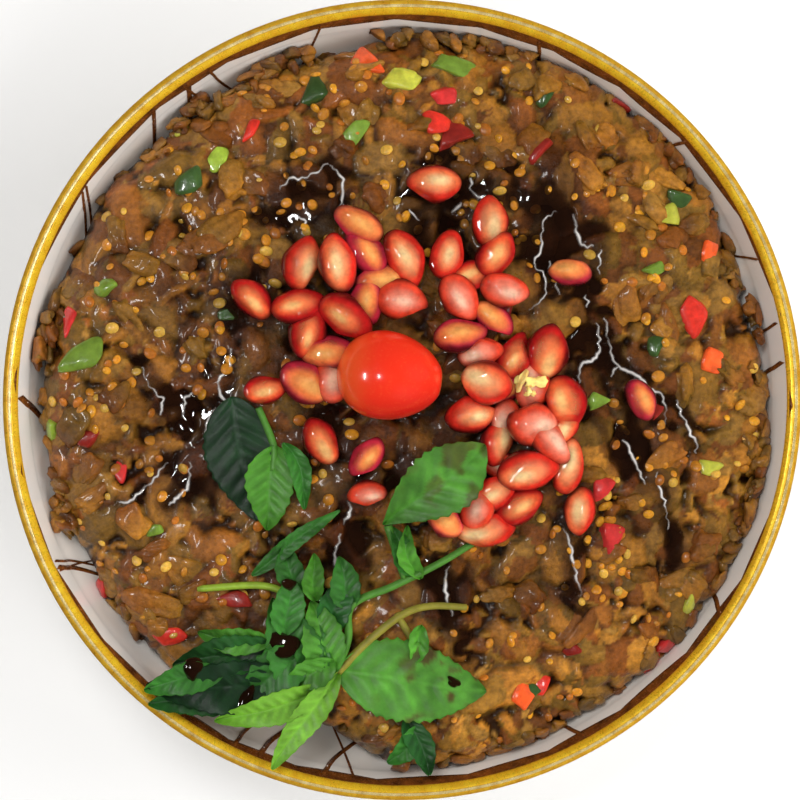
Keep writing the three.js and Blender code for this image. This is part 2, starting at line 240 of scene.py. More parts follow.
class Gather:
    """Collects many small bodies into one mesh, with a colour for each point."""

    def __init__(self):
        self.points, self.faces, self.tints, self.extra, self.count = [], [], [], [], 0

    def add(self, points, faces, tint, extra=None):
        self.points.append(points)
        self.faces.append(faces + self.count)
        self.tints.append(np.broadcast_to(np.asarray(tint, dtype=float), (len(points), 3)))
        self.extra.append(np.zeros(len(points)) if extra is None else extra)
        self.count += len(points)

    def make(self, name, material, slot, node=None):
        piece = mesh_object(
            name, np.concatenate(self.points), np.concatenate(self.faces), material,
            tint=np.concatenate(self.tints), extra=np.concatenate(self.extra))
        return settle(piece, slot, node)


def settle(piece, slot, *nodes):
    """Make a piece ride on the one body and hide the CAD nodes it stands for; the slot is not used."""
    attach(piece, "root")
    nodes = [node for node in nodes if node]
    if nodes:
        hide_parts(*nodes)
    return piece


# ------------------------------------------------------------------ noise

def scatter(i, j):
    wave = np.sin(i * 127.1 + j * 311.7) * 43758.5453
    return wave - np.floor(wave)


def noise(x, y, size, seed=0):
    """Smooth noise from -1 to 1 with bumps about `size` across, the same as the CAD model's."""
    u, v = np.asarray(x) / size + 50, np.asarray(y) / size + 50
    i, j = np.floor(u), np.floor(v)
    s, t = u - i, v - j
    s, t = s * s * (3 - 2 * s), t * t * (3 - 2 * t)
    i = i + seed * 37
    near = scatter(i, j) * (1 - s) + scatter(i + 1, j) * s
    far = scatter(i, j + 1) * (1 - s) + scatter(i + 1, j + 1) * s
    return (near * (1 - t) + far * t) * 2 - 1


def rough(x, y, size, octaves, seed=0):
    """Noise with finer and finer bumps added."""
    total, weight = 0, 1.0
    for octave in range(octaves):
        total = total + weight * noise(x, y, size / 2**octave, seed + octave * 5)
        weight *= 0.5
    return total


def ramp(value, low, high):
    t = np.clip((value - low) / (high - low), 0, 1)
    return t * t * (3 - 2 * t)


def srgb(*colour):
    """Linear colour from the 0 to 255 values that a screen shows."""
    value = np.array(colour) / 255
    return np.where(value <= 0.04045, value / 12.92, ((value + 0.055) / 1.055) ** 2.4)


# ------------------------------------------------------------------ materials

class Nodes:
    """Short way to build a material's node tree round one Principled shader."""

    def __init__(self, name, **settings):
        self.material = bpy.data.materials.new(name)
        self.material.use_nodes = True
        self.tree = self.material.node_tree
        self.shader = self.tree.nodes["Principled BSDF"]
        self.output = self.tree.nodes["Material Output"]
        self.set(self.shader, **settings)

    def set(self, node, **settings):
        for key, value in settings.items():
            socket = node.inputs[key.replace("_", " ")]
            if isinstance(value, bpy.types.NodeSocket):
                self.tree.links.new(value, socket)
            elif hasattr(value, "__len__") and len(value) == 3 and socket.type == "RGBA":
                socket.default_value = (*value, 1)
            else:
                socket.default_value = value

    def node(self, kind, **settings):
        node = self.tree.nodes.new(kind)
        self.set(node, **settings)
        return node

    def attribute(self, name, output="Color"):
        node = self.tree.nodes.new("ShaderNodeAttribute")
        node.attribute_name = name
        return node.outputs[output]

    def noise(self, size, detail=3.0, roughness=0.6):
        """Noise over the object, with features about `size` millimetres across."""
        place = self.tree.nodes.new("ShaderNodeTexCoord").outputs["Object"]
        node = self.node(
            "ShaderNodeTexNoise", Vector=place, Scale=1 / (size * MM), Detail=detail, Roughness=roughness)
        return node.outputs["Fac"]

    def spread(self, value, low, high, start=0.3, end=0.7):
        """Carry a 0 to 1 value over to the range from low to high."""
        node = self.tree.nodes.new("ShaderNodeMapRange")
        self.set(node, Value=value)
        for socket, number in zip(("From Min", "From Max", "To Min", "To Max"), (start, end, low, high)):
            node.inputs[socket].default_value = number
        return node.outputs["Result"]

    def scale(self, colour, factor):
        """Colour times a number."""
        node = self.tree.nodes.new("ShaderNodeVectorMath")
        node.operation = "SCALE"
        self.tree.links.new(colour, node.inputs[0])
        self.tree.links.new(factor, node.inputs["Scale"])
        return node.outputs["Vector"]

    def blend(self, factor, first, second):
        node = self.tree.nodes.new("ShaderNodeMix")
        node.data_type = "RGBA"
        for socket, value in zip((node.inputs[0], node.inputs[6], node.inputs[7]), (factor, first, second)):
            if isinstance(value, bpy.types.NodeSocket):
                self.tree.links.new(value, socket)
            elif hasattr(value, "__len__"):
                socket.default_value = (*value, 1)
            else:
                socket.default_value = value
        return node.outputs[2]

    def bump(self, height, distance, strength=1.0):
        """Bump of the shader's surface, up to a distance in millimetres."""
        node = self.node("ShaderNodeBump", Height=height, Distance=distance * MM, Strength=strength)
        self.set(self.shader, Normal=node.outputs["Normal"])


def floor_material():
    nodes = Nodes("floor", Base_Color=(0.9, 0.9, 0.895), Roughness=0.9)
    return nodes.material


def glaze_material():
    nodes = Nodes("glaze", Roughness=0.16, Coat_Weight=0.4, Coat_Roughness=0.06)
    tone = nodes.blend(nodes.spread(nodes.noise(26), 0, 1), srgb(246, 240, 231), srgb(252, 248, 242))
    nodes.set(nodes.shader, Base_Color=tone)
    nodes.bump(nodes.noise(9, detail=1), 0.08)
    return nodes.material


def gold_material(name, light, dark, roughness, metallic=0.4):
    """Fired gold: brushed on by hand, so its tone and gloss wander."""
    nodes = Nodes(name, Metallic=metallic)
    tone = nodes.blend(nodes.spread(nodes.noise(2.5, detail=5), 0, 1), dark, light)
    gloss = nodes.spread(nodes.noise(0.8), roughness * 0.7, roughness * 1.5)
    nodes.set(nodes.shader, Base_Color=tone, Roughness=gloss)
    nodes.bump(nodes.noise(0.5), 0.05, 0.5)
    return nodes.material


def mash_material():
    nodes = Nodes("mash", Subsurface_Weight=0.12, Subsurface_Radius=(1.0, 0.5, 0.2),
                  Subsurface_Scale=0.0018, IOR=1.4, Coat_Weight=0.35, Coat_Roughness=0.12)
    mottle = nodes.spread(nodes.noise(1.6, detail=5), 0.62, 1.38)
    nodes.set(nodes.shader, Base_Color=nodes.scale(nodes.attribute("tint"), mottle),
              Roughness=nodes.spread(nodes.noise(1.1), 0.24, 0.55))
    nodes.bump(nodes.noise(0.9, detail=5, roughness=0.65), 0.5, 0.8)
    return nodes.material


def seed_material():
    nodes = Nodes("seed", Subsurface_Weight=0.3, Subsurface_Radius=(1.0, 0.5, 0.15),
                  Subsurface_Scale=0.001, Coat_Weight=0.5, Coat_Roughness=0.1)
    mottle = nodes.spread(nodes.noise(0.7, detail=3), 0.75, 1.2)
    nodes.set(nodes.shader, Base_Color=nodes.scale(nodes.attribute("tint"), mottle), Roughness=0.35)
    nodes.bump(nodes.noise(0.6), 0.12, 0.6)
    return nodes.material


def pepper_material():
    nodes = Nodes("pepper", Subsurface_Weight=0.25, Subsurface_Radius=(1.0, 0.5, 0.2),
                  Subsurface_Scale=0.0015, Coat_Weight=0.6, Coat_Roughness=0.08)
    mottle = nodes.spread(nodes.noise(2.2, detail=4), 0.72, 1.22)
    nodes.set(nodes.shader, Base_Color=nodes.scale(nodes.attribute("tint"), mottle), Roughness=0.28)
    nodes.bump(nodes.noise(1.1, detail=3), 0.2, 0.6)
    return nodes.material


def sauce_material():
    """Molasses and oil: clear and brown where thin, near black where deep, always glossy."""
    nodes = Nodes("sauce", Roughness=0.05, IOR=1.46, Coat_Weight=0.6, Coat_Roughness=0.02)
    tone = nodes.blend(nodes.spread(nodes.noise(7), 0, 1), srgb(36, 18, 9), srgb(22, 11, 7))
    nodes.set(nodes.shader, Base_Color=tone)
    nodes.set(nodes.shader, Alpha=nodes.attribute("extra", "Fac"))
    return nodes.material


def shine_material():
    """Pale and partly clear: the highlights of the sauce are modelled, not reflected."""
    nodes = Nodes("sauce_shine", Roughness=0.12, IOR=1.6, Coat_Weight=1.0, Coat_Roughness=0.05)
    tone = nodes.blend(nodes.spread(nodes.noise(1.6), 0, 1), srgb(236, 232, 228), srgb(206, 200, 196))
    nodes.set(nodes.shader, Base_Color=tone, Alpha=nodes.attribute("extra", "Fac"))
    return nodes.material


def aril_shell_material():
    """Juicy flesh: red and dense round the sides, clear over the pale seed."""
    nodes = Nodes("aril_shell", Roughness=0.06, IOR=1.36, Subsurface_Weight=0.25,
                  Subsurface_Radius=(1.0, 0.2, 0.1), Subsurface_Scale=0.002,
                  Coat_Weight=0.5, Coat_Roughness=0.03)
    mottle = nodes.spread(nodes.noise(2.4, detail=2), 0.75, 1.25)
    nodes.set(nodes.shader, Base_Color=nodes.scale(nodes.attribute("tint"), mottle),
              Alpha=nodes.attribute("extra", "Fac"))
    nodes.bump(nodes.noise(2.2, detail=1), 0.12, 0.6)
    return nodes.material


def aril_seed_material():
    nodes = Nodes("aril_seed", Roughness=0.35, Subsurface_Weight=0.35,
                  Subsurface_Radius=(1.0, 0.5, 0.35), Subsurface_Scale=0.0015)
    mottle = nodes.spread(nodes.noise(1.8, detail=4), 0.75, 1.12)
    nodes.set(nodes.shader, Base_Color=nodes.scale(nodes.attribute("tint"), mottle))
    return nodes.material


def tomato_material():
    nodes = Nodes("tomato", Roughness=0.2, Subsurface_Weight=0.35, Subsurface_Radius=(1.0, 0.2, 0.1),
                  Subsurface_Scale=0.003, Coat_Weight=0.4, Coat_Roughness=0.05)
    fleck = nodes.blend(nodes.spread(nodes.noise(0.8, detail=2), 0, 0.16, 0.55, 0.8),
                        nodes.attribute("tint"), srgb(246, 130, 70))
    nodes.set(nodes.shader, Base_Color=fleck)
    nodes.bump(nodes.noise(5, detail=1), 0.15, 0.5)
    return nodes.material


def mint_material():
    nodes = Nodes("mint", Roughness=0.5, Coat_Weight=0.04, Coat_Roughness=0.2,
                  Subsurface_Weight=0.2, Subsurface_Radius=(0.4, 1.0, 0.15), Subsurface_Scale=0.0006)
    mottle = nodes.spread(nodes.noise(3.5, detail=4), 0.8, 1.2)
    nodes.set(nodes.shader, Base_Color=nodes.scale(nodes.attribute("tint"), mottle))
    nodes.bump(nodes.noise(0.8, detail=3), 0.12, 0.7)
    return nodes.material


# ------------------------------------------------------------------ dish

def inside_height(radius):
    """Height of the inside of the bowl at a radius."""
    across = np.clip((np.asarray(radius) - INNER_ROUND) / (INNER_WALL - INNER_ROUND), 0, 1)
    return WALL_FOOT - (WALL_FOOT - FLOOR) * np.sqrt(1 - across**2)


def arc(centre, radii, start, end, steps):
    """Points on part of an ellipse, angles in degrees."""
    angle = np.linspace(start, end, steps + 1) * DEGREE
    return [(centre[0] + radii[0] * math.cos(a), centre[1] + radii[1] * math.sin(a)) for a in angle]


DISH_TURNS = 160  # facets round the dish and its gold


def make_dish():
    inner = arc((INNER_ROUND, WALL_FOOT), (INNER_WALL - INNER_ROUND, WALL_FOOT - FLOOR), -90, 0, 28)
    outer = arc((UNDER_ROUND, WALL_FOOT), (OUTER_WALL - UNDER_ROUND, WALL_FOOT - UNDER), 0, -90, 28)
    lip_centre = (DISH_RADIUS - LIP_ROUND, DISH_HEIGHT - LIP_ROUND)
    lip = arc(lip_centre, (LIP_ROUND, LIP_ROUND), 180, 0, 14)
    foot = arc(((FOOT_OUTER + FOOT_INNER) / 2, 0.9), ((FOOT_OUTER - FOOT_INNER) / 2, 0.9), 0, -180, 8)
    profile = [
        (0.01, FLOOR), (20, FLOOR), *inner, *lip,
        *[point for point in outer if point[0] > FOOT_OUTER + 1.5],
        (FOOT_OUTER + 0.7, UNDER + 0.3), (FOOT_OUTER, UNDER - 0.6), *foot,
        (FOOT_INNER, UNDER - 0.6), (FOOT_INNER - 0.6, UNDER), (20, UNDER), (0.01, UNDER)]
    points, faces = lathe(profile[::-1], DISH_TURNS)
    dish = mesh_object("dish_glaze", points, faces, glaze_material())
    settle(dish, "glaze", "dish")
    make_gold_lip(lip_centre)
    make_lustre()


def make_gold_lip(centre):
    """Gold over the lip, in two bands with a fine pale line between them; the pale line is a painted
    highlight along the lip's crest.
    """
    bands = (
        ("gold_outer", -12, 76, srgb(246, 196, 52), srgb(214, 150, 30), 0.32),
        # the pale middle band: a painted highlight on the crest of the lip
        ("gold_painted_highlight", 76, 98, srgb(250, 228, 160), srgb(200, 170, 100), 0.24),
        ("gold_inner", 98, 196, srgb(255, 212, 48), srgb(236, 176, 34), 0.28),
    )
    for name, start, end, light, dark, roughness in bands:
        skin = LIP_ROUND + (0.1 if name != "gold_painted_highlight" else 0.16)
        outside = arc(centre, (skin, skin), start, end, 9)
        inside = arc(centre, (LIP_ROUND - 0.25, LIP_ROUND - 0.25), end, start, 9)
        loop = outside + inside
        points, faces = lathe(loop + loop[:1], DISH_TURNS)
        band = mesh_object(name, points, faces[:, ::-1], gold_material(name, light, dark, roughness))
        settle(weld(band), "glaze")


LUSTRE_SIDES = 27  # straight strokes that the inner gold band is painted with


def wall_radius_height(radius):
    """Height of the inner wall at a radius, up its slope to the lip."""
    slope = (DISH_HEIGHT - LIP_ROUND - WALL_FOOT) / (LIP_INNER - INNER_WALL)
    return np.where(radius > INNER_WALL, WALL_FOOT + (radius - INNER_WALL) * slope, inside_height(radius))


def make_lustre():
    """Fired gold painted on the inner wall, with a straight-stroked lower edge and fine lines; its dark brown
    colour is a painted reflection of the food in the gold.
    """
    turns, rows = 540, 7
    angle = np.arange(turns) / turns * 2 * math.pi
    uneven = 0.35 * noise(np.cos(angle) * 60, np.sin(angle) * 60, 40, 3)
    stroke = angle / (2 * math.pi) * LUSTRE_SIDES + uneven
    within = (stroke % 1 - 0.5) * 2 * math.pi / LUSTRE_SIDES
    dip = 1 / np.cos(within) - 1 / math.cos(math.pi / LUSTRE_SIDES)
    low = 34.0 + 4.4 * np.cos(angle) ** 6 + 200 * dip - 0.6 * scatter(np.floor(stroke), 7.0)
    band, top = [], DISH_HEIGHT - LIP_ROUND
    for row in range(rows):
        height = low + (top - low) * row / (rows - 1)
        radius = INNER_WALL + (height - WALL_FOOT) * (LIP_INNER - INNER_WALL) / (top - WALL_FOOT)
        band.append((radius, height))
    rings = [(radius - 0.07, height) for radius, height in band]
    rings += [(radius + 0.2, height) for radius, height in band[::-1]]
    points = np.concatenate([
        np.stack([radius * np.cos(angle), radius * np.sin(angle), height], axis=-1)
        for radius, height in rings])
    faces = band_faces(len(rings), turns, closed=True)
    # dark brown base colour for the band and its strokes: a painted reflection of the dark food in the gold
    lustre = gold_material("lustre", srgb(158, 92, 38), srgb(78, 40, 18), 0.22)
    settle(mesh_object("gold_band", points, faces[:, ::-1], lustre), "glaze")
    make_lustre_lines(lustre)


# Painted strokes on the white wall: angle in degrees at the gold, angle and radius at the food, width.
STROKES = (
    (103, 108, 83.5, 0.45), (121, 117, 82, 0.6), (124.5, 129, 82, 1.1), (125.5, 120, 82, 0.5),
    (131, 137, 83, 0.8), (146, 160, 80, 0.4), (147, 165, 80, 0.4), (179, 187, 84, 1.1),
    (204, 209, 84, 0.45), (205, 211, 84, 0.8), (205.6, 207.5, 84, 0.45), (247, 256, 79, 1.0),
    (257, 268, 80, 0.8), (243, 250, 79, 0.8), (298, 293, 86, 0.7), (326, 335, 85, 0.7), (12, 5, 82, 0.5),
    (6, -2, 83, 0.7), (43, 49, 80, 0.7), (22, 27, 84, 0.4), (70, 64, 84, 0.6), (262, 256, 79, 0.5),
)


def make_lustre_lines(material):
    """The strokes, as thin raised bars along the wall."""
    gather = Gather()
    for start_angle, end_angle, end_radius, width in STROKES:
        ends = [np.array([r * math.cos(a * DEGREE), r * math.sin(a * DEGREE)])
                for a, r in ((start_angle, LIP_INNER - 0.4), (end_angle, end_radius))]
        way = (ends[1] - ends[0]) / np.linalg.norm(ends[1] - ends[0])
        side = np.array([-way[1], way[0]])
        steps = 20
        rings = []
        for step in range(steps + 1):
            middle = ends[0] + (ends[1] - ends[0]) * step / steps
            half = width / 2 * (1 - 0.35 * step / steps)
            for offset, lift in ((-1, 0.22), (1, 0.22), (1, -0.2), (-1, -0.2)):
                place = middle + side * half * offset
                radius = np.hypot(*place)
                rings.append((*place * (1 - lift / radius), wall_radius_height(radius)))
        ends_closed = [(3, 2, 1, 0), steps * 4 + np.arange(4)]
        gather.add(np.array(rings), np.concatenate([band_faces(steps + 1, 4), ends_closed]), (0, 0, 0))
    lines = mesh_object("gold_lines", np.concatenate(gather.points), np.concatenate(gather.faces),
                        material, smooth=False)
    settle(weld(lines), "glaze")


# ------------------------------------------------------------------ mash

EDGE, CROWN, SHOULDER, LUMP = 30.5, 5.5, 10.0, 2.0  # as in the CAD model
STEP = 0.56  # spacing of the mash's grid


def mash_reach(angle):
    """Radius where the mash meets the bowl, in a direction."""
    x, y = np.cos(angle), np.sin(angle)
    spread = 86.9 + 2.2 * noise(x * 60, y * 60, 34) + 1.5 * noise(x * 60, y * 60, 13)

    def heaped(amount, azimuth, power):
        return amount * np.maximum(0, np.cos(angle - azimuth * DEGREE)) ** power

    pushed_over = 1.5 * np.cos(angle - 15 * DEGREE)
    heaps = (heaped(2, 60, 8) + heaped(3.2, 178, 8) + heaped(3, -80, 14) + heaped(2, -42, 14)
             - heaped(5.5, -106, 40))
    return np.minimum(INNER_WALL - 0.5, spread + pushed_over + heaps)


def mash_height(x, y):
    """Height of the top of the mash, as in the CAD model."""
    radius, reach = np.hypot(x, y), mash_reach(np.arctan2(y, x))
    dome = EDGE + CROWN * (1 - (radius / DISH_RADIUS) ** 2) + LUMP * (
        0.7 * noise(x, y, 27) + 0.8 * noise(x, y, 11))
    inward = np.clip((reach - radius) / SHOULDER, 0, 1)
    shoulder = np.sqrt(1 - (1 - inward) ** 2)
    return inside_height(reach) * (1 - shoulder) + dome * shoulder


AXIS = np.arange(-DISH_RADIUS, DISH_RADIUS + STEP, STEP)
GRID_X, GRID_Y = np.meshgrid(AXIS, AXIS, indexing="ij")
GRID_RADIUS = np.hypot(GRID_X, GRID_Y)


def blur(field, size):
    """Field smoothed by a bell of a size in millimetres."""
    frequency = np.fft.fftfreq(len(AXIS), STEP)
    bell = np.exp(-2 * (math.pi * size * frequency) ** 2)
    return np.real(np.fft.ifft2(np.fft.fft2(field) * bell[:, None] * bell[None, :]))


def sample(field, x, y):
    """Value of a grid field at points, interpolated."""
    u = np.clip((np.asarray(x, dtype=float) - AXIS[0]) / STEP, 0, len(AXIS) - 1.001)
    v = np.clip((np.asarray(y, dtype=float) - AXIS[0]) / STEP, 0, len(AXIS) - 1.001)
    i, j = u.astype(int), v.astype(int)
    s, t = u - i, v - j
    return ((field[i, j] * (1 - s) + field[i + 1, j] * s) * (1 - t)
            + (field[i, j + 1] * (1 - s) + field[i + 1, j + 1] * s) * t)


# Cooked aubergine, from ochre flesh to dark skin side.
FLESH = (srgb(192, 140, 58), srgb(176, 124, 50), srgb(164, 108, 46), srgb(158, 120, 50),
         srgb(150, 92, 38), srgb(170, 132, 66), srgb(126, 80, 38), srgb(136, 106, 44))
MASH_TONE = np.array([0.73, 0.61, 0.39])
SOAKED_TONE = np.array([0.26, 0.20, 0.17])
# Where sauce has soaked in and darkened the mash: x, y, radius, strength.
SOAKED = (
    (-25, 48, 17, 0.95), (33, 40, 18, 1.0), (12, 50, 16, 0.9), (50, 6, 18, 0.85), (45, -25, 20, 0.75),
    (-62, -4, 22, 0.6), (-54, 24, 20, 0.65), (-46, 48, 16, 0.4),
    (10, -42, 17, 0.9), (-40, 22, 18, 0.8), (-48, -6, 20, 0.6), (0, 5, 30, 0.9), (-20, -25, 20, 0.85),
    (15, 62, 16, 0.5), (60, -38, 16, 0.45), (-38, -48, 16, 0.6), (30, -45, 16, 0.6), (-60, 30, 14, 0.35),
)


def soak_field():
    field = np.zeros_like(GRID_X)
    for x, y, radius, strength in SOAKED:
        away = ((GRID_X - x) ** 2 + (GRID_Y - y) ** 2) / (radius * 0.9) ** 2
        field = np.maximum(field, strength * np.exp(-away))
    return np.clip(field * (1 + 0.45 * rough(GRID_X, GRID_Y, 14, 3, 2)), 0, 1)


class Relief:
    """Height and colour of the mash on a grid, built up from overlapping chunks."""

    def __init__(self):
        self.random = np.random.default_rng(11)
        self.base = mash_height(GRID_X, GRID_Y)
        self.reach = mash_reach(np.arctan2(GRID_Y, GRID_X))
        self.soak, self.sauce = soak_field(), sauce_field()
        self.top = self.base - 2.6 + 0.3 * rough(GRID_X, GRID_Y, 3, 2, 4)
        self.tint = np.ones((*GRID_X.shape, 3)) * srgb(104, 66, 32)
        self.warp_x = 1.3 * rough(GRID_X, GRID_Y, 6, 3, 7)
        self.warp_y = 1.3 * rough(GRID_X, GRID_Y, 6, 3, 8)
        self.add_chunks(520, (4.2, 8.5), (2.6, 5.0), (1.2, 2.3), -1.55, 0.4, (2.0, 3.2))
        self.add_chunks(2100, (2.0, 4.6), (1.2, 2.6), (0.8, 1.5), -1.35, 0.5, (2.2, 4.0))
        self.add_chunks(4200, (0.7, 2.0), (0.5, 1.1), (0.4, 0.9), -1.1, 0.45, (2.2, 4.0))
        self.finish()

    def add_chunks(self, count, lengths, widths, crests, depth, spread, flats):
        random = self.random
        for _ in range(count):
            radius, angle = DISH_RADIUS * math.sqrt(random.random()), random.random() * 2 * math.pi
            x, y = radius * math.cos(angle), radius * math.sin(angle)
            length, width = random.uniform(*lengths), random.uniform(*widths)
            crest, lift = random.uniform(*crests), random.normal(0, spread)
            turn, slope = random.random() * math.pi, random.normal(0, 0.22, 2)
            tint = FLESH[random.integers(len(FLESH))] * random.uniform(0.8, 1.25)
            lift += 0.1 * length * float(noise(x, y, 20, 12))
            grain, flat = random.uniform(0.0, 0.14), random.uniform(*flats)
            if radius > mash_reach(angle) - 0.6 * width:
                continue
            self.splat(x, y, turn, length, width, crest, depth + lift, slope, tint, grain, flat)

    def splat(self, x, y, turn, length, width, crest, depth, slope, tint, grain, flat):
        """Lay one chunk on the grid where it stands above what is there."""
        i, j = int((x - AXIS[0]) / STEP), int((y - AXIS[0]) / STEP)
        half = int((length + 3) / STEP) + 1
        window = (slice(max(0, i - half), i + half), slice(max(0, j - half), j + half))
        u = GRID_X[window] + self.warp_x[window] - x
        v = GRID_Y[window] + self.warp_y[window] - y
        along = (u * math.cos(turn) + v * math.sin(turn)) / length
        across = (v * math.cos(turn) - u * math.sin(turn)) / width
        reach = (np.abs(along) ** 2.4 + np.abs(across) ** 2.4) ** (1 / 2.4)
        body = np.sqrt(np.clip(1 - reach**flat, 0, 1))
        fibres = grain * np.sin(across * width * 5.5 + 2 * along)
        level = self.base[i, j] * 0.45 + self.base[window] * 0.55 + depth
        height = level + crest * body + slope[0] * along * 1.6 + slope[1] * across * 1.6 + fibres * body
        above = (reach < 1) & (height > self.top[window])
        self.top[window] = np.where(above, height, self.top[window])
        # painted shade: each chunk is lighter in its middle and darker towards its rim; the fibres and the
        # change from end to end are the flesh's own grain and tone
        shade = (0.7 + 0.3 * body + 0.8 * fibres + 0.16 * along)[..., None]
        self.tint[window] = np.where(above[..., None], tint * shade, self.tint[window])

    def finish(self):
        self.top = np.minimum(self.top, self.base + 0.9)
        self.top = blur(self.top, 0.33)
        self.smooth = blur(self.top, 1.5)
        # painted shade: the mash is darkened in the hollows between its chunks and left lighter on their
        # crests
        hollow = self.top - blur(self.top, 2.2)
        self.tint *= (0.36 + 0.78 * ramp(hollow, -0.8, 0.5))[..., None]
        self.tint *= (1 + 0.14 * rough(GRID_X, GRID_Y, 18, 2, 15))[..., None]
        wet = ramp(self.sauce, -0.5, 0.5)
        mixed = np.clip(0.86 * self.soak + 0.6 * wet, 0, 0.95)[..., None]
        self.tint = self.tint * MASH_TONE * (1 - mixed * (1 - SOAKED_TONE))
        self.tint = np.clip(self.tint, 0.002, 1)


def whole_cells(mask):
    """Cells of the grid whose four corners are all in a mask."""
    return mask[:-1, :-1] & mask[1:, :-1] & mask[1:, 1:] & mask[:-1, 1:]


def cell_faces(cells, used):
    """Quads of grid cells, with their corners numbered among the used grid points."""
    number = np.cumsum(used).reshape(used.shape) - 1
    i, j = np.nonzero(cells)
    return np.stack([number[i, j], number[i + 1, j], number[i + 1, j + 1], number[i, j + 1]], axis=-1)


def make_mash(relief):
    keep = GRID_RADIUS < relief.reach + 0.6
    faces = cell_faces(whole_cells(keep), keep)
    inward = np.minimum(1, relief.reach / np.maximum(GRID_RADIUS, 1))
    points = np.stack([GRID_X * inward, GRID_Y * inward, relief.top], axis=-1)[keep]
    tints = relief.tint[keep]
    mash = close_below(points, faces, tints, mash_material())
    return settle(mash, "mash", "mash")


def close_below(points, faces, tints, material):
    """Close a sheet with an underside that follows the bowl."""
    rim = open_edges(faces, len(points))
    first = np.unique(rim)
    place = np.full(len(points), -1)
    place[first] = np.arange(len(first))
    all_points, all_faces, before = [points], [faces.tolist()], first
    count = len(points)
    for inset in (0.97, 0.85, 0.65, 0.4, 0.15):
        ring = points[first] * np.array([inset, inset, 1])
        ring[:, 2] = inside_height(np.hypot(ring[:, 0], ring[:, 1])) + 0.3
        all_points.append(ring)
        after = np.arange(count, count + len(first))
        a, b = place[rim[:, 0]], place[rim[:, 1]]
        all_faces.append(np.stack([before[b], before[a], after[a], after[b]], axis=-1).tolist())
        before, count = after, count + len(first)
    all_points.append(np.array([[0, 0, FLOOR + 0.3]]))
    a, b = place[rim[:, 0]], place[rim[:, 1]]
    all_faces.append([(before[q], before[p], count) for p, q in zip(a, b)])
    merged = np.concatenate(all_points)
    tint = np.concatenate([tints, np.broadcast_to(tints.mean(axis=0), (len(merged) - len(points), 3))])
    joined = [face for part in all_faces for face in part]
    return mesh_object("mash_body", merged, joined, material, tint=tint)


# ------------------------------------------------------------------ sauce

# Pools and drops: x, y, radius, depth. Runs: points of x, y with a width.
POOLS = (
    (-24, 50, 8.5, 1.0), (-20, 44, 6, 0.7), (6, 51.5, 9.5, 0.7), (22, 50, 6, 0.7), (34, 48, 8, 1.0),
    (40, 40, 8, 0.9),
    (38, 31, 8, 0.9), (30, 36, 6, 0.8), (-37, 24, 8, 0.6), (-42, -4, 9, 0.45), (-44, -16, 8, 0.35),
    (8, -42, 6.5, 0.9), (10, -50, 5.5, 0.8), (-16, -36, 7, 0.8), (-26, -34, 5, 0.7), (40, -36, 5, 0.8),
    (44, 10, 5, 0.8), (-20, -9, 8, 0.6), (-10, -16, 8, 0.6), (2, -16, 7, 0.7), (55, 0, 6, 0.6),
    (30, -2, 9, 0.5),
    (-22, 12, 8, 0.6), (2, 40, 7, 0.8), (14, 33, 6, 0.6),
)
RUNS = (
    (((34, 48), (38, 56), (33, 60)), 2.6), (((40, 40), (44, 32), (42, 22), (45, 12), (44, 4)), 2.8),
    (((45, 12), (50, 2), (54, -8), (60, -18), (64, -30), (66, -40)), 2.2),
    (((42, 4), (46, -8), (52, -16), (58, -22)), 2.0), (((40, -26), (38, -36), (40, -46), (43, -52)), 2.2),
    (((22, 52), (14, 58), (6, 58)), 2.0), (((-24, 50), (-30, 44), (-36, 42)), 2.2),
    (((-18, 60), (-22, 52)), 2.0),
    (((8, -38), (10, -50), (12, -58)), 2.6), (((-62, 8), (-54, -2), (-50, -14), (-58, -24)), 1.8),
    (((-48, 8), (-44, -4), (-47, -14)), 2.0), (((-14, -34), (-15, -44), (-22, -50)), 2.2),
)


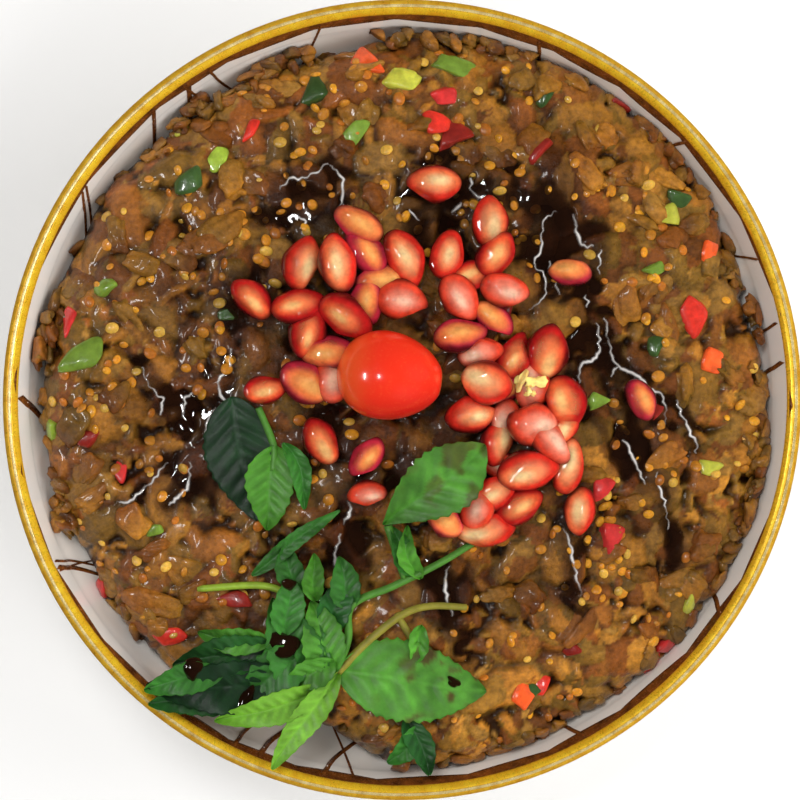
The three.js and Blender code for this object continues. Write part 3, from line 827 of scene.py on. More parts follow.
# Pale ridges along the edges of the sauce, which stand for its highlights: points of x, y.
THREADS = (
    ((-63, 8.5), (-60.5, 3), (-58, 0.5), (-58.5, -3)),
    ((-42, 13), (-42.5, 9), (-45, 4.5), (-43, 0.5), (-39, -2), (-36.3, -4.3), (-36.6, -7), (-39, -9),
     (-42, -13.5)),
    ((-49, 1.5), (-51.5, 2), (-53, 0.5), (-53.5, -3.5)),
    ((-45.5, -1), (-47.5, -4), (-47.8, -8.5)),
    ((-57, -14), (-60.5, -18), (-63, -21), (-66, -23.4), (-68.5, -23.7)),
    ((-51.5, -14), (-52.3, -18.5), (-52.4, -20.5), (-54.5, -22.5), (-56.5, -24.5)),
    ((40, 45), (40.5, 40.5), (41.5, 37.5), (44.5, 37)),
    ((33.7, 33.7), (34.5, 30.5), (36.5, 25.7)),
    ((46, 36.5), (45.8, 30.5)),
    ((45.8, 19), (46, 13), (44.4, 10.3), (41.5, 8.8), (41.2, 4.5)),
    ((47.5, 20.2), (48.7, 14.3), (50, 9.5), (51.3, 8.3), (55, 6.4), (58.2, 3.3), (60.6, 2), (62.2, -0.3),
     (62.2, -5.5)),
    ((51.3, 8.3), (49.6, 8), (49.4, 5.9)),
    ((65, 0.4), (67.3, -5), (69.7, -9.8), (70, -12.6)),
    ((42.8, 25.7), (43.2, 22.6)),
    ((-19, 57), (-23.2, 53.7), (-28.3, 52.7), (-30.4, 50.3)),
    ((-18.5, 56.3), (-15.5, 53.4), (-15.3, 48), (-17.3, 45)),
    ((-26.3, 44), (-24, 42.7), (-26.8, 40.3)),
    ((14.8, 53.4), (15.7, 49.8), (18.3, 49)),
    ((35.6, 45.5), (32.2, 43.2), (32.2, 37.3), (30.2, 34.3), (30.8, 32), (33, 29.6), (32.6, 25.5),
     (28.6, 22)),
    ((0.5, 46), (2.6, 43)), ((13, 47.5), (10.5, 45)),
    ((-14.3, -23.2), (-13.8, -26.3), (-15.5, -29)), ((-16, -31), (-17.5, -38), (-16.5, -41)),
    ((37.5, -30), (40, -38), (42, -47)), ((60, -17), (62, -24), (63.5, -31)),
    ((9.5, -39), (9, -46), (11, -51)),
    ((52, -9), (55, -14), (57, -20)), ((-27, -33), (-29.5, -38), (-29, -42)),
)


def near_path(points, width):
    """1 on a path, falling to 0 at a width from it and on below."""
    field = np.full_like(GRID_X, -9.0)
    for (x0, y0), (x1, y1) in zip(points, points[1:]):
        dx, dy = x1 - x0, y1 - y0
        along = np.clip(((GRID_X - x0) * dx + (GRID_Y - y0) * dy) / (dx * dx + dy * dy), 0, 1)
        away = np.hypot(GRID_X - x0 - along * dx, GRID_Y - y0 - along * dy) / width
        field = np.maximum(field, 1 - away**2)
    return field


def sauce_field():
    """How strongly sauce lies at each grid point, above 0 where there is some."""
    field = np.full_like(GRID_X, -1.0)
    for x, y, radius, depth in POOLS:
        away = np.hypot(GRID_X - x, GRID_Y - y) / radius
        field = np.maximum(field, depth * (1 - away**2))
    for points, width in RUNS:
        field = np.maximum(field, 0.7 * near_path(points, width))
    warped_x, warped_y = (2.2 * rough(GRID_X, GRID_Y, 7, 3, seed) for seed in (21, 22))
    field = sample(np.maximum(field, -1.0), GRID_X + warped_x, GRID_Y + warped_y)
    for points in THREADS:
        field = np.maximum(field, 0.45 * near_path(points, 2.4))
    return blur(np.maximum(field, -1.0), 0.6)


def make_sauce(relief):
    """Sauce fills the low places of the mash, as a closed sheet that dips under it at its edges."""
    field = relief.sauce
    level = blur(relief.top, 4.5) + 1.3 * np.clip(field, -1, 0.8) - 0.12
    level = blur(np.maximum(level, relief.top - 1.2), 1.0)
    level += 0.16 * rough(GRID_X, GRID_Y, 6, 2, 31) * ramp(field, -0.2, 0.4)
    depth = level - relief.top
    wet = (depth > -0.3) & (field > -0.6) & (GRID_RADIUS < relief.reach - 2)
    cell = whole_cells(wet)
    used = np.zeros_like(wet)
    for a, b in ((0, 0), (1, 0), (1, 1), (0, 1)):
        used[a:len(AXIS) - 1 + a, b:len(AXIS) - 1 + b] |= cell
    top = cell_faces(cell, used)
    count = int(used.sum())
    upper = np.stack([GRID_X[used], GRID_Y[used], level[used]], axis=-1)
    lower = upper - np.array([0, 0, 1.0])
    rim = open_edges(top, count)
    sides = np.stack([rim[:, 1], rim[:, 0], rim[:, 0] + count, rim[:, 1] + count], axis=-1)
    faces = np.concatenate([top, top[:, ::-1] + count, sides])
    cover = 0.12 + 0.82 * (1 - np.exp(-2.0 * np.maximum(depth[used] - 0.1, 0)))
    material = sauce_material()
    sauce = mesh_object("sauce", np.concatenate([upper, lower]), faces, material,
                        extra=np.concatenate([cover, cover]))
    settle(sauce, "mash")
    make_threads(blur(np.maximum(level, relief.top), 1.4) + 0.15)


def make_threads(level):
    """The pale ridges, which fade out across and at their ends."""
    random = np.random.default_rng(61)
    gather = Gather()
    across = np.linspace(-1, 1, 9)
    bell = (1 + np.cos(math.pi * across)) / 2
    for path in THREADS:
        curve = smooth_path(path, 14)
        reach = np.linspace(0, 1, len(curve))
        wander = 0.5 * noise(curve[:, 0] * 3, curve[:, 1] * 3, 3, 51)
        forward = np.gradient(curve, axis=0)
        forward /= np.linalg.norm(forward, axis=1)[:, None]
        side = np.stack([-forward[:, 1], forward[:, 0]], axis=-1)
        middle = curve + side * wander[:, None]
        uneven = 0.75 + 0.6 * noise(curve[:, 0], curve[:, 1], 2.2, 52)
        strong = np.sin(math.pi * np.clip(reach, 0.03, 0.97)) ** 0.5 * uneven
        thick = random.uniform(0.42, 0.62) * (0.7 + 0.5 * np.clip(strong, 0, 1))
        rings, cover = [], []
        for place, way, size, force in zip(middle, side, thick, np.clip(strong, 0.05, 1)):
            spots = place + way * (across * size)[:, None]
            base = sample(level, spots[:, 0], spots[:, 1])
            ring = np.column_stack([spots, base - 0.04 + 0.5 * size * bell])
            below = ring[[-1, 0]] - np.array([0, 0, 0.3])
            rings.append(np.concatenate([ring, below]))
            cover.append(np.concatenate([force * bell**1.5, [0, 0]]))
        faces = band_faces(len(rings), len(across) + 2)
        gather.add(np.concatenate(rings), faces, (0, 0, 0), np.concatenate(cover))
    threads = mesh_object("sauce_threads", np.concatenate(gather.points), np.concatenate(gather.faces),
                          shine_material(), extra=np.concatenate(gather.extra))
    close_ends(threads)
    settle(threads, "mash")


# ------------------------------------------------------------------ loose pieces in the mash

def rotation(turn, tilt=0.0, roll=0.0):
    """Turn about X by roll, then about Y by tilt, then about Z by turn."""
    return np.array(
        Matrix.Rotation(turn, 3, "Z") @ Matrix.Rotation(tilt, 3, "Y") @ Matrix.Rotation(roll, 3, "X"))


def keep_inside(points):
    """Draw points that would stick through the bowl back to its inner wall."""
    below = np.clip((WALL_FOOT - points[:, 2]) / (WALL_FOOT - FLOOR), 0, 1)
    limit = INNER_ROUND + (INNER_WALL - INNER_ROUND) * np.sqrt(1 - below**2) - 0.15
    shrink = np.minimum(1, limit / np.maximum(np.hypot(points[:, 0], points[:, 1]), 1))
    return points * np.column_stack([shrink, shrink, np.ones(len(points))])


def lean(relief_top, x, y, span=1.5):
    """Slope of the mash at a point, as tilt about Y and roll about X."""
    dx = (sample(relief_top, x + span, y) - sample(relief_top, x - span, y)) / (2 * span)
    dy = (sample(relief_top, x, y + span) - sample(relief_top, x, y - span)) / (2 * span)
    return -math.atan(float(dx)), math.atan(float(dy))


SEED_COUNT = 520
LARGE_CHUNKS, EDGE_CHUNKS = 90, 230


def make_seeds(relief):
    """Aubergine seeds: flat ovals, scattered thickly in some places and thinly in others."""
    random = np.random.default_rng(23)
    gather = Gather()
    points, faces = BALLS[3]
    tones = (srgb(236, 168, 44), srgb(222, 150, 40), srgb(206, 140, 46), srgb(228, 184, 78),
             srgb(196, 120, 38))
    placed = 0
    while placed < SEED_COUNT:
        radius, angle = 86 * math.sqrt(random.random()), random.random() * 2 * math.pi
        x, y = radius * math.cos(angle), radius * math.sin(angle)
        pick, size = random.random(), random.uniform(0.8, 1.6)
        spin, wobble = random.random() * math.pi, random.normal(0, 0.35, 2)
        tone, bright = random.integers(len(tones)), random.uniform(0.75, 1.15)
        if radius > mash_reach(angle) - 2.5 or pick > 0.45 + 0.6 * float(noise(x, y, 12, 9)):
            continue
        placed += 1
        tilt, roll = lean(relief.top, x, y)
        turn = rotation(0, tilt + wobble[0], roll + wobble[1]) @ rotation(spin)
        body = points * np.array([size * 1.1, size * 0.92, size * 0.5])
        centre = np.array([x, y, float(sample(relief.top, x, y)) + size * 0.02])
        soak = float(sample(relief.soak, x, y))
        tint = tones[tone] * bright * (1 - 0.4 * soak) * (0.92, 0.86, 0.8)
        gather.add(body @ turn.T + centre, faces, tint)
    return gather.make("aubergine_seeds", seed_material(), "mash")


def lumps(points, random, sizes):
    """Unevenness of a shape's surface, from waves that run through it in random directions."""
    total = np.zeros(len(points))
    for size, amount in sizes:
        for _ in range(4):
            way = random.normal(0, 1, 3)
            way *= 2 * math.pi / size / np.linalg.norm(way)
            total += amount / 2 * np.sin(points @ way + random.random() * 6.3)
    return total


def tone_of(soak):
    """How a soaked piece is darkened, as the mash is."""
    return MASH_TONE * (1 - 0.86 * soak * (1 - SOAKED_TONE))


# Directions in which the loose flesh climbs the wall, in degrees.
EDGE_HEAPS = (112, 90, 78, 42, 14, -10, -24, -84, 128, 172, 200)


def make_chunks(relief):
    """Pieces of cooked aubergine flesh: larger ones that stand proud of the mash, small ones at its edge."""
    random = np.random.default_rng(31)
    gather = Gather()
    placed = 0
    while placed < LARGE_CHUNKS:
        radius, angle = 86 * math.sqrt(random.random()), random.random() * 2 * math.pi
        x, y = radius * math.cos(angle), radius * math.sin(angle)
        soak = float(sample(relief.soak, x, y))
        buried = sample(relief.sauce, x, y) > -0.4 or under_leaf(x, y)
        if radius > mash_reach(angle) - 1.8 or buried or random.random() < soak * 0.7:
            continue
        placed += 1
        size = np.array([random.uniform(3.2, 6.6), random.uniform(2.0, 3.6), random.uniform(1.3, 2.2)])
        size[0] *= 1 - 0.4 * ramp(radius, 76, 84)
        add_chunk(gather, BALLS[4], relief, random, x, y, size, 0.35, soak)
    for k in range(EDGE_CHUNKS):
        climbs = k % 2
        angle = random.random() * 2 * math.pi
        if climbs:
            angle = (EDGE_HEAPS[random.integers(len(EDGE_HEAPS))] + random.normal(0, 3.5)) * DEGREE
        reach = float(mash_reach(angle))
        radius = min(reach + random.uniform(-3.2, 0.9) + 1.2 * climbs, 88.6)
        x, y = radius * math.cos(angle), radius * math.sin(angle)
        size = np.array([random.uniform(1.6, 3.6), random.uniform(1.0, 2.1), random.uniform(0.9, 1.5)])
        if under_leaf(x, y):
            continue
        rest = float(mash_height((reach - 3.5) * math.cos(angle), (reach - 3.5) * math.sin(angle)))
        lift = climbs * max(0.0, rest + random.uniform(-3.5, 0.0) - float(sample(relief.smooth, x, y)))
        add_chunk(gather, BALLS[3], relief, random, x, y, size, -0.1 - lift / size[2], 0.1)
    return gather.make("aubergine_pieces", mash_material(), "mash")


def under_leaf(x, y):
    """Whether a point lies under one of the mint leaves."""
    for _, leaves in SPRIGS.values():
        for leaf in leaves:
            base, tip = np.array(leaf["base"]), np.array(leaf["tip"])
            share = np.dot((x, y) - base, tip - base) / np.dot(tip - base, tip - base)
            if math.dist((x, y), base + (tip - base) * np.clip(share, 0, 1)) < leaf["width"] / 2 + 1:
                return True
    return False


def add_chunk(gather, shape, relief, random, x, y, size, sunk, soak):
    """One lumpy slab of flesh, laid along the slope of what it lies on."""
    ball_points, faces = shape
    slab = np.sign(ball_points) * np.abs(ball_points) ** 0.8
    slab *= (1 + lumps(ball_points, random, ((2.4, 0.3), (1.1, 0.16), (0.5, 0.07))))[:, None]
    spin, wobble = random.random() * math.pi, random.normal(0, 0.14, 2)
    tone, other = random.integers(len(FLESH), size=2)
    bright = random.uniform(0.9, 1.25)
    body = slab * size
    body[:, 2] -= 0.02 * body[:, 0] ** 2
    tilt, roll = lean(relief.smooth, x, y, 3)
    turn = rotation(0, tilt + wobble[0], roll + wobble[1]) @ rotation(spin)
    centre = np.array([x, y, float(sample(relief.smooth, x, y)) - size[2] * sunk])
    end = ramp(ball_points[:, :1], -0.8, 0.8)
    tint = FLESH[tone] * (1 - end) + FLESH[other] * end
    # painted shade: each slab is darker over its lower half and lighter on top
    edge = 0.6 + 0.4 * np.clip(slab[:, 2:] * 1.4, 0, 1)
    gather.add(keep_inside(body @ turn.T + centre), faces, tint * edge * bright * tone_of(soak))


# Diced pepper: x, y, turn in degrees, length, width, tone.
GREEN = (srgb(150, 176, 58), srgb(112, 140, 50), srgb(176, 176, 62), srgb(58, 84, 40))
RED = (srgb(218, 52, 38), srgb(190, 46, 44), srgb(238, 92, 36), srgb(140, 36, 28))
GREEN_DICE = (
    (-77, 11, 20, 11, 6.5, 1), (-45, 58, 60, 8, 5.5, 0), (-52, 52, 20, 8, 6, 3), (-54, 64.5, 10, 6, 4, 2),
    (-21, 74, 70, 7, 6, 3), (-12, 64.5, 50, 8, 4.5, 1), (-1, 77, -15, 9, 6, 2), (12, 80, -20, 12, 5, 1),
    (33, 73, 60, 6, 3.5, 3), (63, 45, 10, 7, 5, 2), (66, 49, -20, 6, 4, 3), (60, 32, 30, 5, 3.5, 1),
    (60, 13, 80, 6, 4, 3), (45, 0, 40, 5, 4, 1), (73, -16, -10, 6, 4, 2), (-84, -6.5, 60, 6, 4, 0),
    (23, -30, 20, 5, 4, 0), (69, -50, 70, 6, 3.5, 2), (-71, 27.5, 40, 6, 4, 1), (-43, 21, 10, 5, 3, 3),
    (74, -54, 50, 5, 4, 0), (-60, -30, 10, 4, 3, 1), (30, -70, 40, 5, 4, 3),
)
RED_DICE = (
    (-9, 81, -25, 8, 5.5, 2), (9, 73, 10, 7, 4.5, 1), (7, 66.5, -10, 8, 6, 0), (11, 63, 60, 8, 6, 3),
    (31, 60.5, 50, 7, 5, 3), (-37, 64.5, 70, 6, 2.6, 0), (69, 21, 60, 9, 8, 0), (74, 10, 80, 7, 5.5, 2),
    (73, 36, 70, 6, 4.5, 2), (-80, 19, 80, 7, 3.5, 1), (-75.5, -8.5, 60, 5, 4, 3), (-68, -16, 80, 6, 3, 1),
    (-56.5, -56, 20, 8, 5, 0), (-73, -45, 70, 6, 3.5, 1), (47, -21, 70, 7, 4.5, 1),
    (49, -32, 60, 7.5, 6.5, 1),
    (28, -71, 60, 7, 5.5, 2), (33, -69, 80, 6, 3.5, 0), (61, -64, 60, 8, 5, 0), (52, 72, -30, 6, 4, 3),
    (-41, -47, 10, 8, 4, 3), (23, 22, 70, 6, 4, 3), (60, -2, 50, 4.5, 3, 3), (64, -60, 30, 6, 4, 1),
    (40, -60, 30, 5, 3, 3), (-30, -80, 40, 5, 3.5, 0),
)


def die_shape(random, length, width, height):
    """A cut of pepper flesh: a rounded slab, skewed, with its skin side a little domed."""
    points, faces = BALLS[3]
    power = random.uniform(0.42, 0.62)
    box = np.sign(points) * np.abs(points) ** power
    box /= np.maximum(1, np.linalg.norm(box, axis=1) / 1.42)[:, None]
    box *= (1 + lumps(points, random, ((2.2, 0.12), (0.9, 0.05))))[:, None]
    skew = random.normal(0, 0.2, 4)
    x = box[:, 0] * (1 + skew[0] * box[:, 1]) + skew[1] * box[:, 1]
    y = box[:, 1] * (1 + skew[2] * box[:, 0])
    z = box[:, 2] + 0.25 * (1 - box[:, 0] ** 2) + skew[3] * box[:, 0]
    return np.stack([x * length / 2, y * width / 2, z * height / 2], axis=-1), faces


def make_dice(name, dice, tones, relief, seed):
    random = np.random.default_rng(seed)
    gather = Gather()
    for x, y, turn, length, width, tone in dice:
        height = random.uniform(2.0, 3.0)
        shape, faces = die_shape(random, length * 0.9, width * 0.9, height)
        tilt, roll = lean(relief.base, x, y, 3)
        wobble = random.normal(0, 0.16, 2)
        spin = rotation(0, tilt + wobble[0], roll + wobble[1]) @ rotation(turn * DEGREE)
        centre = np.array([x, y, float(sample(relief.smooth, x, y)) - 0.35])
        # painted light and shade: each die is lighter towards its top and darker towards its underside
        cut = 1 + 0.22 * np.clip(shape[:, 2] / height, -1, 1)
        tint = tones[tone] * cut[:, None] * random.uniform(0.75, 1.1)
        gather.add(keep_inside(shape @ spin.T + centre), faces, tint)
    return gather.make(name, pepper_material(), "mash")


# ------------------------------------------------------------------ arils

ARIL_LENGTH, ARIL_WIDTH, ARIL_HEIGHT = 10.6, 7.6, 7.0
HEAP_LIFT, LAYER_LIFT = 0.6, 2.0
ARIL_SPREAD = np.array([1.1, 1.12, 1.0])  # the true arils fill the gaps between the CAD model's
# Arils of the two heaps: x, y, turn and tilt in degrees, layer, size. The last six of the right heap
# fill gaps between the others and are not in the CAD solid.
HEAPS = {
    "aril_heap_left": (
        (-25, 33, 75), (-10, 36, -60, 10), (-12, 42, -30), (-1, 34, -65, 0, 0, 1.05), (-26, 23, 10),
        (-7, 29, 15),
        (-2, 24.5, -10, 0, 0, 1.05), (-24, 17, 80), (-10, 24, 90, 12), (-19, 12, 0, 10), (-24.5, 5, -30),
        (-18, 6, 80, 0, 0, 1.05), (-17, 33, 100, -12, 1, 1.05), (-15, 20.5, -35, 8, 1, 1.15)),
    "aril_heap_right": (
        (19, 43, 90), (20.5, 35, 60, 8), (9, 35, 75, -6), (22.5, 27, -10), (12, 25, -55), (12, 16, 10),
        (17, 12, 10, 12), (25, 11, 65, -8), (32.5, 12, 75, 6, 0, 1.15), (14.5, -2.5, 10), (29, 4, 85),
        (37, 0, -75, 0, 0, 1.1), (21, -9.5, 80, -8), (37.5, -15, 80), (20.5, -21, 30), (26, -24.5, 30, 6),
        (16, -25, 80), (12.5, -20, 20), (8, -27, -40), (18, -30, 5, 0, 0, 1.05), (18, 5, -15, 6, 1, 1.1),
        (29, -5, 0, -8, 1, 1.1), (33, -9, -50, 8, 1), (28, -16, 10, 0, 1, 1.15),
        (24, 4, 30, 4, 0, 0.8), (23, -3.5, 80, 0, 0, 0.85), (36.5, -5.5, 60, 0, 0, 0.9),
        (15, 30, 20, 0, 0, 0.8),
        (20, 20, -40, 6, 0, 0.8), (22, -15, -20, 0, 0, 0.85)),
}


def kernel_points(level, seed):
    """Unit aril drawn to a blunt point at +X, with the soft flats of fruit that grew packed."""
    random = np.random.default_rng(seed)
    points, faces = BALLS[level]
    body = points.copy()
    for _ in range(7):
        turn, rise = random.random() * 2 * math.pi, random.normal(0, 0.4)
        face = np.array([rise, math.cos(turn), math.sin(turn)]) / math.hypot(1, rise)
        out = body @ face - random.uniform(0.68, 0.84)
        body -= 0.8 * np.maximum(out, 0)[:, None] * face
    blunt = random.uniform(0.2, 0.5)
    taper = 1 - blunt * np.maximum(0, points[:, 0]) ** 1.5 - 0.1 * np.maximum(0, -points[:, 0])
    body[:, 1:] *= (taper / 0.88)[:, None]
    body[:, 1] += random.normal(0, 0.05) * body[:, 0] ** 2
    return body * (1 + lumps(points, random, ((2.5, 0.03),)))[:, None], faces


# Colours of an aril from the middle of its pale heart out to its rim; the near-black at the rim is painted
# shade.
HEARTS = (srgb(255, 220, 160), srgb(255, 200, 128), srgb(254, 206, 176), srgb(255, 184, 104))
MIDDLES = (srgb(250, 126, 76), srgb(244, 100, 56), srgb(244, 118, 92), srgb(252, 136, 74))
RINDS = (srgb(222, 46, 34), srgb(190, 30, 30), srgb(234, 72, 46), srgb(196, 44, 66))
PAINTED_SHADE_RIM = srgb(52, 10, 12)


def aril_tint(x, y, z, reach, shade, random):
    """Cream heart, salmon round it, then red, and nearly black at the rim and on the underside: painted shade
    where the light passes through least.
    """
    heart = np.array([random.uniform(-0.4, 0.3), random.uniform(-0.28, 0.28)])
    away = np.hypot((x - heart[0]) / 1.15, (y - heart[1]) / 0.8)[:, None] * reach
    tint = HEARTS[shade] + (MIDDLES[shade] - HEARTS[shade]) * ramp(away, 0.12, 0.5)
    tint = tint + (RINDS[shade] - tint) * ramp(away, 0.42, 0.88)
    # painted shade: the rim and the underside are drawn towards near-black
    edge = np.hypot(x / 0.98, y / 0.95)[:, None]
    under = 0.35 * np.maximum(0, 0.1 - z)[:, None]
    return tint + (PAINTED_SHADE_RIM - tint) * ramp(edge + under, 0.78, 1.08) * 0.9


def add_aril(shells, seeds, place, size, frame_matrix, random):
    """One aril: wet red flesh round a pale seed that shows through where the flesh is thin."""
    seed = int(random.integers(1 << 30))
    body, faces = kernel_points(4, seed)
    x, y, z = body.T
    reach, shade = random.uniform(0.75, 1.35), random.integers(len(HEARTS))
    tint = aril_tint(x, y, z, reach, shade, random)
    clear = (1 - ramp(np.hypot(x, y), 0.4, 0.95)) * ramp(np.abs(z), 0.1, 0.4)
    half = np.array(size) / 2
    cover = 0.97 - 0.42 * clear
    shells.add(body * half @ frame_matrix.T + place, faces, tint * random.uniform(0.9, 1.1), cover)
    inner, inner_faces = kernel_points(3, seed)
    seeds.add(inner * half * 0.8 @ frame_matrix.T + place, inner_faces, HEARTS[shade])


def node_pose(name):
    """Centre, size and axes of a CAD aril, from its own points."""
    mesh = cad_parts[name].data
    points = np.array([vertex.co[:] for vertex in mesh.vertices]) / MM
    centre = (points.max(axis=0) + points.min(axis=0)) / 2
    values, axes = np.linalg.eigh(np.cov((points - points.mean(axis=0)).T))
    long = axes[:, 2]
    ends = (points - centre) @ long
    if np.mean(ends**3) > 0:
        long = -long
    up = np.array([0, 0, 1.0]) - long * long[2]
    up /= np.linalg.norm(up)
    matrix = np.stack([long, np.cross(up, long), up], axis=-1)
    spans = (points - centre) @ matrix
    return centre, spans.max(axis=0) - spans.min(axis=0), matrix


def make_arils():
    random = np.random.default_rng(5)
    flesh_look, seed_look = aril_shell_material(), aril_seed_material()
    for heap, arils in HEAPS.items():
        shells, seeds = Gather(), Gather()
        for entry in arils:
            x, y, turn, tilt, layer, size = (*entry, *(0, 0, 1)[len(entry) - 3:])
            dims = np.array([ARIL_LENGTH, ARIL_WIDTH, ARIL_HEIGHT]) * size * ARIL_SPREAD
            dims *= random.uniform((0.98, 0.92, 0.94), (1.2, 1.1, 1.04))
            matrix = rotation(turn * DEGREE, -tilt * DEGREE, random.normal(0, 0.2))
            z = float(mash_height(x, y)) + HEAP_LIFT + dims[2] / 2 + layer * LAYER_LIFT
            add_aril(shells, seeds, np.array([x, y, z]), dims, matrix, random)
        flesh = shells.make(heap + "_flesh", flesh_look, "aril", heap)
        seeds.make(heap + "_seeds", seed_look, "aril")
        if heap == "aril_heap_right":
            make_pith(flesh)
    for node in sorted(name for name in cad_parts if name.startswith("aril_") and name not in HEAPS):
        shells, seeds = Gather(), Gather()
        centre, spans, matrix = node_pose(node)
        add_aril(shells, seeds, centre, spans * 1.02, matrix, random)
        shells.make(node + "_flesh", flesh_look, "aril", node)
        seeds.make(node + "_seed", seed_look, "aril")


# Scraps of pale pith on the right heap: x, y, turn in degrees, length, width.
PITH = ((26, 5.4, 70, 4.2, 3.0), (29.6, 5.0, 20, 4.6, 3.2), (28, 2.6, -30, 2.6, 1.8))


def make_pith(heap):
    random = np.random.default_rng(3)
    gather = Gather()
    points, faces = BALLS[4]
    for x, y, turn, length, width in PITH:
        place, lie = landing(heap, x, y)
        shape = points * (1 + lumps(points, random, ((1.4, 0.4), (0.6, 0.16))))[:, None]
        scrap = shape * (length / 2, width / 2, 0.9) @ rotation(turn * DEGREE).T @ lie.T + place
        # painted light and shade: each scrap is lighter on top and darker underneath
        tint = srgb(244, 206, 120) * (0.9 + 0.35 * shape[:, 2:])
        gather.add(scrap, faces, np.clip(tint, 0, 1))
    gather.make("pith", aril_seed_material(), "aril")


def landing(target, x, y):
    """Highest place of a piece under a point, and the tilt of its surface there."""
    bpy.context.view_layer.update()
    _, place, normal, _ = target.ray_cast(Vector((x, y, 90)) * MM, Vector((0, 0, -1)))
    return np.array(place) / MM, np.array(Vector((0, 0, 1)).rotation_difference(normal).to_matrix())


# ------------------------------------------------------------------ tomato

TOMATO_TURN = -8


def make_tomato():
    low, high = (np.array(corner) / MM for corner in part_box("tomato"))
    centre, half = (low + high) / 2, (high - low) / 2
    rows, turns = 60, 96
    angle = np.linspace(0.004, math.pi - 0.004, rows)
    scar = np.exp(-((math.pi - angle) ** 2) / 0.035)
    profile = np.stack([np.sin(angle), -np.cos(angle) * (1 - 0.1 * scar)], axis=-1)
    points, faces = lathe(profile, turns)
    points[:, :2] *= ((1 - 0.13 * points[:, 2]) / 1.02)[:, None]
    lobes = 1 + 0.012 * np.cos(3 * np.arctan2(points[:, 1], points[:, 0]) + 0.6)
    local = np.stack([points[:, 2], points[:, 0] * lobes, points[:, 1] * lobes], axis=-1)
    body = (local * half * np.array([1.0, 0.985, 0.99])) @ rotation(TOMATO_TURN * DEGREE).T + centre
    # painted light and shade: the end away from the stem scar is painted a lighter orange, and the -Y side
    # and the scar end a darker red
    edge = ramp(-local[:, 0], 0.25, 1.0)
    under = ramp(-local[:, 1] + 0.6 * local[:, 0], 0.1, 1.2)
    tint = (srgb(232, 50, 26) * np.ones((len(local), 3)))
    tint = tint * (1 - edge[:, None]) + srgb(240, 92, 40) * edge[:, None]
    tint = tint * (1 - 0.75 * under[:, None]) + srgb(190, 24, 26) * 0.75 * under[:, None]
    scar_mark = ramp(local[:, 0], 0.9, 0.985)[:, None]
    tint = tint * (1 - scar_mark) + srgb(150, 96, 50) * scar_mark
    tomato = mesh_object("tomato_fruit", body, faces[:, ::-1], tomato_material(), tint=tint)
    settle(weld(tomato), "tomato", "tomato")


# ------------------------------------------------------------------ mint

STEM_RADIUS = 1.1
# leaf tones from lime to near-black green: partly the leaves' own colour, partly painted light and shade for
# leaves turned to the light or lying under others
LEAF_TONES = {"lime": srgb(112, 168, 48), "bright": srgb(78, 140, 44), "mid": srgb(56, 118, 42),
              "dark": srgb(38, 90, 36), "night": srgb(24, 54, 28)}
STEM_TONES = {"cut": srgb(146, 176, 52), "olive": srgb(140, 132, 48), "green": srgb(78, 132, 48)}
